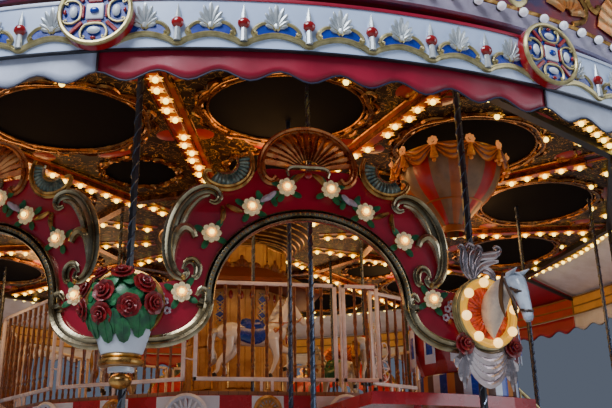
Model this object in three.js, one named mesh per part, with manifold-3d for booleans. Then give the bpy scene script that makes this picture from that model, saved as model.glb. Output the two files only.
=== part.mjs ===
// Fairground carousel with two decks. Millimetres, +Z up, origin at ground level on the axis.
// An azimuth is measured round the axis from the front (-Y) towards +X.
import * as THREE from 'three';
import { mergeVertices } from 'three/addons/utils/BufferGeometryUtils.js';
import Module from 'manifold-3d';

const wasm = await Module();
wasm.setup();

const DEGREE = Math.PI / 180;
const TURN = 2 * Math.PI;

// Driving dimensions of the whole machine
const BAY_COUNT = 12;
const BAY_ANGLE = TURN / BAY_COUNT;
const HALF_BAY = BAY_ANGLE / 2;
const SEAT_GAP = 0.3;
const SMOOTH_RING = 48;

// Levels
const PLATFORM_TOP = 400;
const BALCONY_TOP = 2400;
const DECK_TOP = 2620;
const CEILING_UNDERSIDE = 5150;
const ROOF_TOP = 7350;

// Ground base and mast
const BASE_RADIUS = 2100;
const BASE_THICKNESS = 120;
const HUB_RADIUS = 420;
const MAST_RADIUS = 150;
const MAST_TOP = 7100;
const TURNTABLE_UNDERSIDE = 200;

// Lower platform
const PLATFORM_RADIUS = 5600;
const PLATFORM_THICKNESS = 60;
const PLATFORM_BORE = 190;
const PLATFORM_HUB_RADIUS = 900;
const SKIRT_THICKNESS = 25;
const SKIRT_CLEARANCE = 60;

// Centre housing, eight-sided
const HOUSING_SIDES = 8;
const LOWER_HOUSING_RADIUS = 1150;
const UPPER_HOUSING_RADIUS = 720;
const HOUSING_WALL = 25;
const HOUSING_TOP = 4900;
const CANOPY_RADIUS = 1000;
const CANOPY_BOTTOM = 4250;
const CANOPY_THICKNESS = 50;
const CORNICE_RIM_RADIUS = 1740;

// Upper deck
const DECK_CORNER = 3080;
const DECK_THICKNESS = 100;
const DECK_COLUMN_CIRCLE = 2820;
const DECK_COLUMN_RADIUS = 45;
const COLUMN_HEAD_WIDTH = 140;
const COLUMN_HEAD_DEPTH = 120;
const FASCIA_DEPTH = 255;
const FASCIA_THICKNESS = 28;
const FASCIA_DROP = 40;

// Deck fence
const FENCE_CORNER = 3040;
const FENCE_BOTTOM = 2725;
const FENCE_TOP = 3755;
const FENCE_BAR = 40;
const FENCE_PANEL_WIDTH = 1490;
const BALUSTER_WIDTH = 45;
const BALUSTER_PITCH = 286;
const FENCE_THICKNESS = 30;
const LINK_REACH = 60;
const LINK_HEIGHT = 20;
const FOOT_HALF = 70;
const LINK_HEIGHTS = [2940, 3580];
const GATE_POST_RADIUS = 13;
const GATE_WIDTH = 420;
const GATE_TIP_GAP = 12;
const GATE_REST_SWING = 30 * DEGREE;

// Balcony and stair
const BALCONY_RADIUS = 4850;
const BALCONY_THICKNESS = 100;
const BALCONY_START = 6.6 * DEGREE;
const BALCONY_END = 27 * DEGREE;
const BALCONY_POST_CIRCLE = 4750;
const BALCONY_POST_RADIUS = 30;
const BALCONY_POST_AZIMUTHS = [12 * DEGREE, 24 * DEGREE];
const STAIR_TOP_X = 1750;
const STAIR_OUTER_Y = -3500;
const STAIR_INNER_Y = -2900;
const STAIR_STEPS = 10;
const STEP_GOING = 215;
const TREAD_THICKNESS = 35;
const STRING_THICKNESS = 40;
const STRING_DEPTH = 260;
const STRING_FOOT_RISE = 90;
const STRING_FOOT_REACH = 130;
const STRING_TOP_DROP = 5;
const HANDRAIL_HEIGHT = 850;
const HANDRAIL_RADIUS = 18;
const UPRIGHT_COUNT = 4;

// Outer posts, arches and their ornaments
const POST_CIRCLE = 5290;
const POST_RADIUS = 30;
const ARCH_THICKNESS = 30;
const RING_BEAM_WIDTH = 90;
const RING_BEAM_DEPTH = 70;

// Ceiling, awning, fascia ring and valance
const CEILING_RADIUS = 5400;
const CEILING_THICKNESS = 40;
const CEILING_BORE = 900;
const LIGHT_ARM_INNER = 2000;
const LIGHT_ARM_OUTER = 5000;
const LIGHT_ARM_WIDTH = 110;
const LIGHT_ARM_DEPTH = 60;
const AWNING_THICKNESS = 12;
const AWNING_FOOT = 4868;
const RAFTER_DEPTH = 50;
const RAFTER_WIDTH = 40;
const RING_RADIUS = 6380;
const RING_THICKNESS = 30;
const RING_BOTTOM = 4480;
const RING_TOP = 4885;
const VALANCE_BOTTOM = 4270;
const VALANCE_TOP = 4540;
const VALANCE_THICKNESS = 12;
const MEDALLION_RADIUS = 260;
const MEDALLION_HEIGHT = 4730;
const MEDALLION_STANDOFF = 90;

// Crown boards, roof and finial
const CROWN_RADIUS = 6200;
const CROWN_BOTTOM = 5100;
const CROWN_TOP = 6150;
const CROWN_THICKNESS = 60;
const SOFFIT_DEPTH = 200;
const SOFFIT_THICKNESS = 40;
const CROWN_BRACKET_WIDTH = 40;
const ROOF_EAVES_RADIUS = 5380;
const ROOF_EAVES_HEIGHT = 5500;
const ROOF_NECK_RADIUS = 160;
const ROOF_FRIEZE_THICKNESS = 40;
const ROOF_THICKNESS = 30;

// Balloon car
const BALLOON_CIRCLE = 4400;
const BALLOON_AZIMUTH = 22.4 * DEGREE;
const BALLOON_RADIUS = 530;
const BASKET_RADIUS = 500;
const BASKET_BOTTOM = 2620;
const BASKET_TOP = 3130;
const BASKET_WALL = 40;
const BASKET_PEDESTAL_RADIUS = 120;
const BALLOON_POST_RADIUS = 35;

// Galloping horses
const OUTER_HORSE_CIRCLE = 4850;
const INNER_HORSE_CIRCLE = 3950;
const DECK_HORSE_CIRCLE = 1850;
const HORSE_COUNT = 6;
const HORSE_AZIMUTH = 0.9 * DEGREE;
const HORSE_POLE_RADIUS = 25;
const HORSE_STROKE = 150;
const POLE_SIDES = 6;

// Booleans

function toSolid(geometry) {
  const bare = geometry.clone();
  bare.deleteAttribute('normal');
  bare.deleteAttribute('uv');
  const merged = mergeVertices(bare, 1e-3);
  return new wasm.Manifold(new wasm.Mesh({
    numProp: 3,
    vertProperties: new Float32Array(merged.getAttribute('position').array),
    triVerts: new Uint32Array(merged.getIndex().array),
  }));
}

function toGeometry(solid) {
  const mesh = solid.getMesh();
  const geometry = new THREE.BufferGeometry();
  geometry.setAttribute('position', new THREE.BufferAttribute(new Float32Array(mesh.vertProperties), 3));
  geometry.setIndex(new THREE.BufferAttribute(new Uint32Array(mesh.triVerts), 1));
  geometry.computeVertexNormals();
  return geometry;
}

function union(geometries) {
  return toGeometry(geometries.map(toSolid).reduce((joined, next) => joined.add(next)));
}

function cut(geometry, tools) {
  return toGeometry(tools.map(toSolid).reduce((left, tool) => left.subtract(tool), toSolid(geometry)));
}

// Shape helpers

// A profile of [radius, height] pairs, anticlockwise, turned about the vertical axis
function turned(profile, segments = SMOOTH_RING) {
  const points = profile.map(([radius, height]) => new THREE.Vector2(radius, height));
  return new THREE.LatheGeometry(points, segments).rotateX(Math.PI / 2);
}

function ring(innerRadius, outerRadius, bottom, top, segments = SMOOTH_RING) {
  return turned([
    [innerRadius, bottom], [outerRadius, bottom], [outerRadius, top], [innerRadius, top],
    [innerRadius, bottom],
  ], segments);
}

// A ring whose flat sides face the middle of each bay, given by its corner radii
function bayRing(innerCorner, outerCorner, bottom, top) {
  return ring(innerCorner, outerCorner, bottom, top, BAY_COUNT).rotateZ(HALF_BAY);
}

function housingRing(innerCorner, outerCorner, bottom, top) {
  return ring(innerCorner, outerCorner, bottom, top, HOUSING_SIDES).rotateZ(Math.PI / HOUSING_SIDES);
}

function rod(radius, bottom, top, x = 0, y = 0, sides = POLE_SIDES) {
  return new THREE.CylinderGeometry(radius, radius, top - bottom, sides)
    .rotateX(Math.PI / 2).translate(x, y, (bottom + top) / 2);
}

function block(xFrom, xTo, yFrom, yTo, zFrom, zTo) {
  return new THREE.BoxGeometry(xTo - xFrom, yTo - yFrom, zTo - zFrom)
    .translate((xFrom + xTo) / 2, (yFrom + yTo) / 2, (zFrom + zTo) / 2);
}

// A flat board standing across the front, its inner face at the given distance from the axis
function board(shape, distance, thickness, curveSegments = 3) {
  return new THREE.ExtrudeGeometry(shape, { depth: thickness, bevelEnabled: false, curveSegments })
    .rotateX(Math.PI / 2).translate(0, -distance, 0);
}

// A flat plate lying level, given by its plan
function plate(shape, bottom, top, curveSegments = 12) {
  return new THREE.ExtrudeGeometry(shape, { depth: top - bottom, bevelEnabled: false, curveSegments })
    .translate(0, 0, bottom);
}

function polygon(points) {
  return new THREE.Shape(points.map(([x, y]) => new THREE.Vector2(x, y)));
}

function atPolar(radius, azimuth) {
  return [radius * Math.sin(azimuth), -radius * Math.cos(azimuth)];
}

function range(count) {
  return Array.from({ length: count }, (unused, index) => index);
}

// Materials

function finish(color, roughness, metalness = 0) {
  return new THREE.MeshStandardMaterial({ color, roughness, metalness });
}

const FINISHES = {
  darkSteel: () => finish(0x30343c, 0.5, 0.6),
  deckRed: () => finish(0x8c1417, 0.55),
  whitePaint: () => finish(0xe8e6e0, 0.45),
  creamPaint: () => finish(0xe9d9b0, 0.5),
  crimson: () => finish(0xa01530, 0.45),
  gold: () => finish(0xb08a3a, 0.35, 0.8),
  brownPanel: () => finish(0x4a2a12, 0.5),
  redCloth: () => finish(0xa81226, 0.7),
  horseWhite: () => finish(0xeeeae2, 0.35),
  roseVase: () => finish(0xd8d4cc, 0.4),
  balloonCloth: () => finish(0xb5531c, 0.7),
  boards: () => finish(0x7a5a3a, 0.75),
};

const carousel = new THREE.Group();

function addPiece(name, geometry, material, azimuth = 0) {
  const mesh = new THREE.Mesh(geometry, material);
  mesh.name = name;
  mesh.rotation.z = azimuth;
  carousel.add(mesh);
}

// Ground base and the fixed mast that everything turns about

function addBase() {
  addPiece('ground_base', turned([
    [0, 0], [BASE_RADIUS, 0], [BASE_RADIUS, BASE_THICKNESS], [HUB_RADIUS, BASE_THICKNESS],
    [HUB_RADIUS, TURNTABLE_UNDERSIDE - SEAT_GAP], [MAST_RADIUS + SEAT_GAP, TURNTABLE_UNDERSIDE - SEAT_GAP],
    [MAST_RADIUS + SEAT_GAP, BASE_THICKNESS / 2], [0, BASE_THICKNESS / 2],
  ], 24), FINISHES.darkSteel());
  const mastFoot = BASE_THICKNESS / 2 + SEAT_GAP;
  addPiece('centre_mast', turned([
    [0, mastFoot], [MAST_RADIUS, mastFoot], [MAST_RADIUS, MAST_TOP], [0, MAST_TOP],
  ], 24), FINISHES.darkSteel());
}

// Places of the horses' poles

function lowerHorseAzimuth(index) {
  return HORSE_AZIMUTH + index * TURN / HORSE_COUNT;
}

function deckHorseAzimuth(index) {
  return index * TURN / HORSE_COUNT;
}

// Holes for the poles; each has the pole's own sides and turns with it
const HOLE_MARGIN = 50;

function poleHoles(circles, azimuthOf, bottom, top) {
  return range(HORSE_COUNT).flatMap((index) => circles.map((circle) => (
    rod(HORSE_POLE_RADIUS + SEAT_GAP, bottom, top, 0, -circle).rotateZ(azimuthOf(index))
  )));
}

// Lower deck

function addLowerDeck() {
  const underside = PLATFORM_TOP - PLATFORM_THICKNESS;
  const floor = turned([
    [PLATFORM_BORE, TURNTABLE_UNDERSIDE], [PLATFORM_HUB_RADIUS, TURNTABLE_UNDERSIDE],
    [PLATFORM_HUB_RADIUS, underside],
    [PLATFORM_RADIUS, underside], [PLATFORM_RADIUS, PLATFORM_TOP], [PLATFORM_BORE, PLATFORM_TOP],
    [PLATFORM_BORE, TURNTABLE_UNDERSIDE],
  ]);
  const holes = poleHoles(
    [OUTER_HORSE_CIRCLE, INNER_HORSE_CIRCLE], lowerHorseAzimuth, underside - HOLE_MARGIN, PLATFORM_TOP + HOLE_MARGIN,
  );
  addPiece('lower_platform', cut(floor, holes), FINISHES.boards());
  addPiece('platform_skirt', ring(
    PLATFORM_RADIUS + SEAT_GAP, PLATFORM_RADIUS + SEAT_GAP + SKIRT_THICKNESS, SKIRT_CLEARANCE, PLATFORM_TOP,
  ), FINISHES.deckRed());
  addPiece('lower_housing', housingRing(
    LOWER_HOUSING_RADIUS - HOUSING_WALL, LOWER_HOUSING_RADIUS,
    PLATFORM_TOP + SEAT_GAP, DECK_TOP - DECK_THICKNESS - SEAT_GAP,
  ), FINISHES.creamPaint());
  const columnTop = DECK_TOP - DECK_THICKNESS - SEAT_GAP;
  const columns = range(BAY_COUNT).map((index) => {
    const [x, y] = atPolar(DECK_COLUMN_CIRCLE, HALF_BAY + index * BAY_ANGLE);
    return rod(DECK_COLUMN_RADIUS, PLATFORM_TOP + SEAT_GAP, columnTop - COLUMN_HEAD_DEPTH / 3, x, y);
  });
  const headRing = bayRing(
    DECK_COLUMN_CIRCLE - COLUMN_HEAD_WIDTH / 2, DECK_COLUMN_CIRCLE + COLUMN_HEAD_WIDTH / 2,
    columnTop - COLUMN_HEAD_DEPTH, columnTop,
  );
  addPiece('deck_columns', union([headRing, ...columns]), FINISHES.gold());
}

// Upper deck, its fascia, fence and gate

const FENCE_APOTHEM = FENCE_CORNER * Math.cos(HALF_BAY);

// An upright panel of the fence: a frame with balusters, from one side to the other of its bay
function fencePanel(uFrom, uTo) {
  const half = FENCE_THICKNESS / 2;
  const gapCount = Math.round((uTo - uFrom) / BALUSTER_PITCH);
  const pitch = (uTo - uFrom - FENCE_BAR) / gapCount;
  const gaps = range(gapCount).map((index) => {
    const left = uFrom + FENCE_BAR / 2 + index * pitch + BALUSTER_WIDTH / 2;
    const right = left + pitch - BALUSTER_WIDTH;
    return block(left, right, -2 * half, 2 * half, FENCE_BOTTOM + FENCE_BAR, FENCE_TOP - FENCE_BAR);
  });
  return cut(block(uFrom, uTo, -half, half, FENCE_BOTTOM, FENCE_TOP), gaps);
}

function addUpperDeck() {
  const underside = DECK_TOP - DECK_THICKNESS;
  const floor = ring(PLATFORM_BORE, DECK_CORNER, underside, DECK_TOP, BAY_COUNT).rotateZ(HALF_BAY);
  const holes = poleHoles([DECK_HORSE_CIRCLE], deckHorseAzimuth, underside - HOLE_MARGIN, DECK_TOP + HOLE_MARGIN);
  addPiece('upper_deck', cut(floor, holes), FINISHES.boards());
  const fasciaTop = DECK_TOP - FASCIA_DROP;
  addPiece('deck_fascia', bayRing(
    DECK_CORNER + SEAT_GAP / Math.cos(HALF_BAY), DECK_CORNER + FASCIA_THICKNESS, fasciaTop - FASCIA_DEPTH, fasciaTop,
  ), FINISHES.deckRed());
  addFence();
  addGate();
}

// Bay 1, to the right of the front bay, is the way in: it has a short panel and the gate
function addFence() {
  const halfPanel = FENCE_PANEL_WIDTH / 2;
  const gatewayEnd = GATE_WIDTH + GATE_TIP_GAP - FENCE_CORNER * Math.sin(HALF_BAY);
  const halfThick = FENCE_THICKNESS / 2;
  const solids = [];
  range(BAY_COUNT).forEach((bay) => {
    const panel = fencePanel(bay === 1 ? gatewayEnd : -halfPanel, halfPanel).translate(0, -FENCE_APOTHEM, 0);
    const foot = block(
      -FOOT_HALF, FOOT_HALF, -FENCE_APOTHEM - halfThick, -FENCE_APOTHEM + halfThick,
      DECK_TOP + SEAT_GAP, FENCE_BOTTOM + FENCE_BAR / 4,
    );
    solids.push(panel.rotateZ(bay * BAY_ANGLE), foot.rotateZ(bay * BAY_ANGLE));
    LINK_HEIGHTS.forEach((height) => {
      const reach = bay === 0 ? 0 : LINK_REACH;
      const link = block(
        -LINK_REACH, reach, -FENCE_CORNER - 2, -FENCE_CORNER + 12, height - LINK_HEIGHT / 2, height + LINK_HEIGHT / 2,
      );
      solids.push(link.rotateZ(HALF_BAY + bay * BAY_ANGLE));
    });
  });
  const [postX, postY] = atPolar(FENCE_CORNER, HALF_BAY);
  solids.push(rod(GATE_POST_RADIUS, DECK_TOP + SEAT_GAP, FENCE_TOP, postX, postY, 12));
  addPiece('deck_fence', union(solids), FINISHES.whitePaint());
}

// The leaf is drawn along +X from its hinge line and then swung out from the closed line
function addGate() {
  const [cornerX, cornerY] = atPolar(FENCE_CORNER, HALF_BAY);
  const leaf = fencePanel(GATE_POST_RADIUS + SEAT_GAP, GATE_WIDTH).rotateZ(BAY_ANGLE - GATE_REST_SWING);
  addPiece('deck_gate', leaf.translate(cornerX, cornerY, 0), FINISHES.whitePaint());
}

// Centre housing above the deck

function addUpperHousing() {
  addPiece('upper_housing', housingRing(
    UPPER_HOUSING_RADIUS - HOUSING_WALL, UPPER_HOUSING_RADIUS, DECK_TOP + SEAT_GAP, HOUSING_TOP,
  ), FINISHES.creamPaint());
  const hug = UPPER_HOUSING_RADIUS + SEAT_GAP / Math.cos(Math.PI / HOUSING_SIDES);
  addPiece('housing_canopy', housingRing(
    hug, CANOPY_RADIUS, CANOPY_BOTTOM, CANOPY_BOTTOM + CANOPY_THICKNESS,
  ), FINISHES.deckRed());
  const inner = UPPER_HOUSING_RADIUS - HOUSING_WALL;
  const foot = HOUSING_TOP + SEAT_GAP;
  const top = CEILING_UNDERSIDE - SEAT_GAP;
  const cornice = turned([
    [inner, foot], [790, foot], [860, 4990], [1050, 5060], [1400, 5080],
    [CORNICE_RIM_RADIUS, 5085], [CORNICE_RIM_RADIUS, top], [inner, top], [inner, foot],
  ], 24);
  addPiece('trumpet_cornice', cornice, FINISHES.gold());
}

// Balcony outside the gateway and the stair down to the platform

function addBalcony() {
  const deckEdge = (DECK_CORNER + FASCIA_THICKNESS) * Math.cos(HALF_BAY) + SEAT_GAP;
  const startLine = Math.tan(BALCONY_START);
  const [cornerX, cornerY] = atPolar(deckEdge / Math.cos(HALF_BAY), HALF_BAY);
  const edgeYAt = (x) => -(deckEdge - x * Math.sin(BAY_ANGLE)) / Math.cos(BAY_ANGLE);
  const arc = range(7).map((step) => (
    atPolar(BALCONY_RADIUS, BALCONY_START + (BALCONY_END - BALCONY_START) * step / 6)
  ));
  const rightX = arc[6][0];
  const stairMargin = 60;
  const outline = [
    [deckEdge * startLine, -deckEdge],
    ...arc,
    [rightX, STAIR_OUTER_Y - stairMargin],
    [STAIR_TOP_X, STAIR_OUTER_Y - stairMargin],
    [STAIR_TOP_X, edgeYAt(STAIR_TOP_X)],
    [cornerX, cornerY],
  ];
  const floor = plate(polygon(outline), BALCONY_TOP - BALCONY_THICKNESS, BALCONY_TOP);
  const middle = BALCONY_TOP - BALCONY_THICKNESS / 2;
  const posts = BALCONY_POST_AZIMUTHS.map((azimuth) => (
    rod(BALCONY_POST_RADIUS, PLATFORM_TOP + SEAT_GAP, middle, ...atPolar(BALCONY_POST_CIRCLE, azimuth))
  ));
  const [basketX, basketY] = atPolar(BALLOON_CIRCLE, BALLOON_AZIMUTH);
  const pedestal = rod(BASKET_PEDESTAL_RADIUS, middle, BASKET_BOTTOM - SEAT_GAP, basketX, basketY, 12);
  addPiece('balcony', union([floor, ...posts, pedestal]), FINISHES.deckRed());
}

const STEP_RISE = (BALCONY_TOP - PLATFORM_TOP) / STAIR_STEPS;

function stairHeightAt(x) {
  return BALCONY_TOP - (x - STAIR_TOP_X) * STEP_RISE / STEP_GOING;
}

function addStair() {
  const bottomX = STAIR_TOP_X + (STAIR_STEPS - 1) * STEP_GOING;
  const foot = PLATFORM_TOP + SEAT_GAP;
  const headX = STAIR_TOP_X + SEAT_GAP;
  const string = polygon([
    [headX, BALCONY_TOP - STRING_TOP_DROP], [headX, BALCONY_TOP - STRING_DEPTH],
    [bottomX - 40, foot], [bottomX + STRING_FOOT_REACH, foot],
    [bottomX + STRING_FOOT_REACH, PLATFORM_TOP + STRING_FOOT_RISE],
  ]);
  const strings = [STAIR_INNER_Y, STAIR_OUTER_Y + STRING_THICKNESS].map((y) => (
    new THREE.ExtrudeGeometry(string, { depth: STRING_THICKNESS, bevelEnabled: false })
      .rotateX(Math.PI / 2).translate(0, y, 0)
  ));
  const treads = range(STAIR_STEPS - 1).map((index) => {
    const x = headX + index * STEP_GOING;
    const top = BALCONY_TOP - (index + 1) * STEP_RISE;
    return block(x, x + STEP_GOING + 15, STAIR_OUTER_Y + 10, STAIR_INNER_Y - 10, top - TREAD_THICKNESS, top);
  });
  addPiece('stair', union([...strings, ...treads]), FINISHES.boards());
  [['outer', STAIR_OUTER_Y + STRING_THICKNESS / 2], ['inner', STAIR_INNER_Y - STRING_THICKNESS / 2]]
    .forEach(([side, y]) => addHandrail(side, y, bottomX));
}

function addHandrail(side, y, bottomX) {
  const railFrom = STAIR_TOP_X + 60;
  const railTo = bottomX + 60;
  const line = [railFrom, railTo].map((x) => new THREE.Vector3(x, y, stairHeightAt(x) + HANDRAIL_HEIGHT));
  const section = new THREE.Shape().absarc(0, 0, HANDRAIL_RADIUS, 0, TURN);
  const rail = new THREE.ExtrudeGeometry(section, {
    steps: 1, curveSegments: 8, extrudePath: new THREE.LineCurve3(line[0], line[1]),
  });
  const margin = 40;
  const uprights = range(UPRIGHT_COUNT).map((index) => {
    const x = railFrom + margin + (railTo - railFrom - 2 * margin) * index / (UPRIGHT_COUNT - 1);
    return rod(12, stairStringTopAt(x - 12) + SEAT_GAP, stairHeightAt(x) + HANDRAIL_HEIGHT, x, y, 8);
  });
  addPiece(`stair_handrail_${side}`, union([rail, ...uprights]), FINISHES.gold());
}

// The string's sloping top edge, from the balcony down to its foot
function stairStringTopAt(x) {
  const bottomX = STAIR_TOP_X + (STAIR_STEPS - 1) * STEP_GOING + STRING_FOOT_REACH;
  const top = BALCONY_TOP - STRING_TOP_DROP;
  const bottom = PLATFORM_TOP + STRING_FOOT_RISE;
  return top - (x - STAIR_TOP_X) * (top - bottom) / (bottomX - STAIR_TOP_X);
}

// Ceiling with its light arms, and the frame of posts and rings that carries the top

function addCeiling() {
  const plan = turned([
    [CEILING_BORE, CEILING_UNDERSIDE], [CEILING_RADIUS, CEILING_UNDERSIDE],
    [CEILING_RADIUS, CEILING_UNDERSIDE + CEILING_THICKNESS], [CEILING_BORE, CEILING_UNDERSIDE + CEILING_THICKNESS],
    [CEILING_BORE, CEILING_UNDERSIDE],
  ]);
  const above = CEILING_UNDERSIDE + CEILING_THICKNESS + HOLE_MARGIN;
  const below = CEILING_UNDERSIDE - HOLE_MARGIN;
  const holes = [
    ...poleHoles([OUTER_HORSE_CIRCLE, INNER_HORSE_CIRCLE], lowerHorseAzimuth, below, above),
    ...poleHoles([DECK_HORSE_CIRCLE], deckHorseAzimuth, below, above),
  ];
  addPiece('ceiling', cut(plan, holes), FINISHES.brownPanel());
  const armBottom = CEILING_UNDERSIDE - SEAT_GAP - LIGHT_ARM_DEPTH;
  const armTop = CEILING_UNDERSIDE - SEAT_GAP;
  const arms = range(BAY_COUNT).map((index) => (
    block(
      -LIGHT_ARM_WIDTH / 2, LIGHT_ARM_WIDTH / 2, -LIGHT_ARM_OUTER, -LIGHT_ARM_INNER - LIGHT_ARM_WIDTH / 2,
      armBottom, armTop,
    ).rotateZ(HALF_BAY + index * BAY_ANGLE)
  ));
  const collar = bayRing(LIGHT_ARM_INNER, LIGHT_ARM_INNER + LIGHT_ARM_WIDTH, armBottom, armTop);
  addPiece('light_arms', union([collar, ...arms]), FINISHES.gold());
}

function addTopFrame() {
  const beamTop = CEILING_UNDERSIDE - SEAT_GAP;
  const posts = range(BAY_COUNT).map((index) => {
    const [x, y] = atPolar(POST_CIRCLE, HALF_BAY + index * BAY_ANGLE);
    return rod(POST_RADIUS, PLATFORM_TOP + SEAT_GAP, beamTop - RING_BEAM_DEPTH / 2, x, y);
  });
  const beam = bayRing(
    POST_CIRCLE - RING_BEAM_WIDTH / 2, POST_CIRCLE + RING_BEAM_WIDTH / 2, beamTop - RING_BEAM_DEPTH, beamTop,
  );
  const rafterEnd = RING_RADIUS - RING_THICKNESS - 2;
  const topAtPosts = beamTop - 10;
  const topAtRing = AWNING_FOOT - 18;
  const side = polygon([
    [POST_CIRCLE, topAtPosts - RAFTER_DEPTH], [rafterEnd, topAtRing - RAFTER_DEPTH],
    [rafterEnd, topAtRing], [POST_CIRCLE, topAtPosts],
  ]);
  const rafters = range(BAY_COUNT).map((index) => (
    radialBoard(side, RAFTER_WIDTH).rotateZ(HALF_BAY + index * BAY_ANGLE)
  ));
  addPiece('top_frame', union([beam, ...posts, ...rafters]), FINISHES.darkSteel());
}

// A board in the upright plane of the front (-Y) radius, drawn as [radius, height]
function radialBoard(shape, thickness) {
  return new THREE.ExtrudeGeometry(shape, { depth: thickness, bevelEnabled: false, curveSegments: 4 })
    .translate(0, 0, -thickness / 2).rotateX(Math.PI / 2).rotateZ(-Math.PI / 2);
}

function addAwning() {
  const innerRadius = CEILING_RADIUS + 2;
  const outerRadius = RING_RADIUS - RING_THICKNESS - SEAT_GAP;
  const head = CEILING_UNDERSIDE + 4;
  addPiece('awning', turned([
    [innerRadius, head], [outerRadius, AWNING_FOOT], [outerRadius, AWNING_FOOT + AWNING_THICKNESS],
    [innerRadius, head + AWNING_THICKNESS], [innerRadius, head],
  ]), FINISHES.redCloth());
}

function addFasciaRing() {
  const hoop = ring(RING_RADIUS - RING_THICKNESS, RING_RADIUS, RING_BOTTOM, RING_TOP);
  const bedded = RING_THICKNESS * 2 / 3;
  const medallions = range(BAY_COUNT).map((index) => (
    new THREE.CylinderGeometry(MEDALLION_RADIUS, MEDALLION_RADIUS, MEDALLION_STANDOFF + bedded, 12)
      .translate(0, -RING_RADIUS - (MEDALLION_STANDOFF - bedded) / 2, MEDALLION_HEIGHT)
      .rotateZ(HALF_BAY + index * BAY_ANGLE)
  ));
  addPiece('fascia_ring', union([hoop, ...medallions]), FINISHES.whitePaint());
  const outer = RING_RADIUS - RING_THICKNESS - SEAT_GAP;
  addPiece('valance', ring(outer - VALANCE_THICKNESS, outer, VALANCE_BOTTOM, VALANCE_TOP), FINISHES.redCloth());
}

// Crown boards on brackets, the roof behind them and the finial

function addCrown() {
  const inner = CROWN_RADIUS - CROWN_THICKNESS;
  const soffitEdge = CROWN_RADIUS - SOFFIT_DEPTH;
  const soffitTop = CROWN_BOTTOM + SOFFIT_THICKNESS;
  const hoop = turned([
    [soffitEdge, CROWN_BOTTOM], [CROWN_RADIUS, CROWN_BOTTOM], [CROWN_RADIUS, CROWN_TOP],
    [inner, CROWN_TOP], [inner, soffitTop], [soffitEdge, soffitTop], [soffitEdge, CROWN_BOTTOM],
  ]);
  const root = ROOF_EAVES_RADIUS + SEAT_GAP;
  const tip = inner + CROWN_THICKNESS / 3;
  const bracketFoot = CEILING_UNDERSIDE + CEILING_THICKNESS + SEAT_GAP;
  const bracket = polygon([
    [root, bracketFoot], [tip, bracketFoot], [tip, bracketFoot + 330], [root, bracketFoot + 110],
  ]);
  const brackets = range(BAY_COUNT).map((index) => (
    radialBoard(bracket, CROWN_BRACKET_WIDTH).rotateZ(HALF_BAY + index * BAY_ANGLE)
  ));
  addPiece('crown_boards', union([hoop, ...brackets]), FINISHES.creamPaint());
}

function addRoof() {
  const foot = CEILING_UNDERSIDE + CEILING_THICKNESS + SEAT_GAP;
  const inner = ROOF_EAVES_RADIUS - ROOF_FRIEZE_THICKNESS;
  addPiece('roof', turned([
    [inner, foot], [ROOF_EAVES_RADIUS, foot], [ROOF_EAVES_RADIUS, ROOF_EAVES_HEIGHT],
    [ROOF_NECK_RADIUS, ROOF_TOP], [ROOF_NECK_RADIUS, ROOF_TOP - ROOF_THICKNESS],
    [inner, ROOF_EAVES_HEIGHT - ROOF_THICKNESS], [inner, foot],
  ], BAY_COUNT).rotateZ(HALF_BAY), FINISHES.redCloth());
  const seat = ROOF_TOP + SEAT_GAP;
  addPiece('finial', turned([
    [0, seat], [230, seat], [240, seat + 60], [120, seat + 110], [90, seat + 180], [150, seat + 240],
    [170, seat + 310], [140, seat + 380], [60, seat + 430], [40, seat + 560], [0, seat + 820],
  ], 16), FINISHES.gold());
}

// Arches between the posts

const ARCH_INNER_FACE = POST_CIRCLE * Math.cos(HALF_BAY) + POST_RADIUS + SEAT_GAP;

function archShape(halfWidth) {
  const springing = 3020;
  const outline = new THREE.Shape();
  outline.moveTo(halfWidth, 2690);
  outline.quadraticCurveTo(880, 2690, 735, springing);
  outline.absellipse(0, springing, 735, 655, 0, Math.PI, false);
  outline.quadraticCurveTo(-880, 2690, -halfWidth, 2690);
  outline.lineTo(-halfWidth, 3120);
  outline.quadraticCurveTo(-1010, 3120, -1085, 3430);
  outline.quadraticCurveTo(-1060, 3720, -760, 3860);
  outline.quadraticCurveTo(-690, 4080, -430, 4190);
  outline.lineTo(-370, 4110);
  outline.absarc(0, 4090, 365, Math.PI, 0, true);
  outline.lineTo(430, 4190);
  outline.quadraticCurveTo(690, 4080, 760, 3860);
  outline.quadraticCurveTo(1060, 3720, 1085, 3430);
  outline.quadraticCurveTo(1010, 3120, halfWidth, 3120);
  outline.closePath();
  return outline;
}

// Two arches side by side, drawn about the post between them and cut off at the outer posts
function arcade() {
  const outerHalfWidth = (ARCH_INNER_FACE + ARCH_THICKNESS) * Math.tan(HALF_BAY) + 0.2;
  const arches = [-HALF_BAY, HALF_BAY].map((azimuth) => (
    board(archShape(outerHalfWidth), ARCH_INNER_FACE, ARCH_THICKNESS).rotateZ(azimuth)
  ));
  return toGeometry(toSolid(union(arches))
    .trimByPlane([Math.cos(BAY_ANGLE), -Math.sin(BAY_ANGLE), 0], 0)
    .trimByPlane([-Math.cos(BAY_ANGLE), -Math.sin(BAY_ANGLE), 0], 0));
}

// The front has one pair of arches and the back another; the bays at the sides are open
const ARCADES = [['front', -HALF_BAY], ['back', TURN / 2 - HALF_BAY]];

function addArcades() {
  ARCADES.forEach(([side, azimuth]) => addPiece(`arcade_${side}`, arcade(), FINISHES.crimson(), azimuth));
}

// Ornaments on the posts, drawn at the front and swung round; heights are above the ground

const ORNAMENT_BACK = (ARCH_INNER_FACE + ARCH_THICKNESS) / Math.cos(HALF_BAY) + SEAT_GAP;

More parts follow.
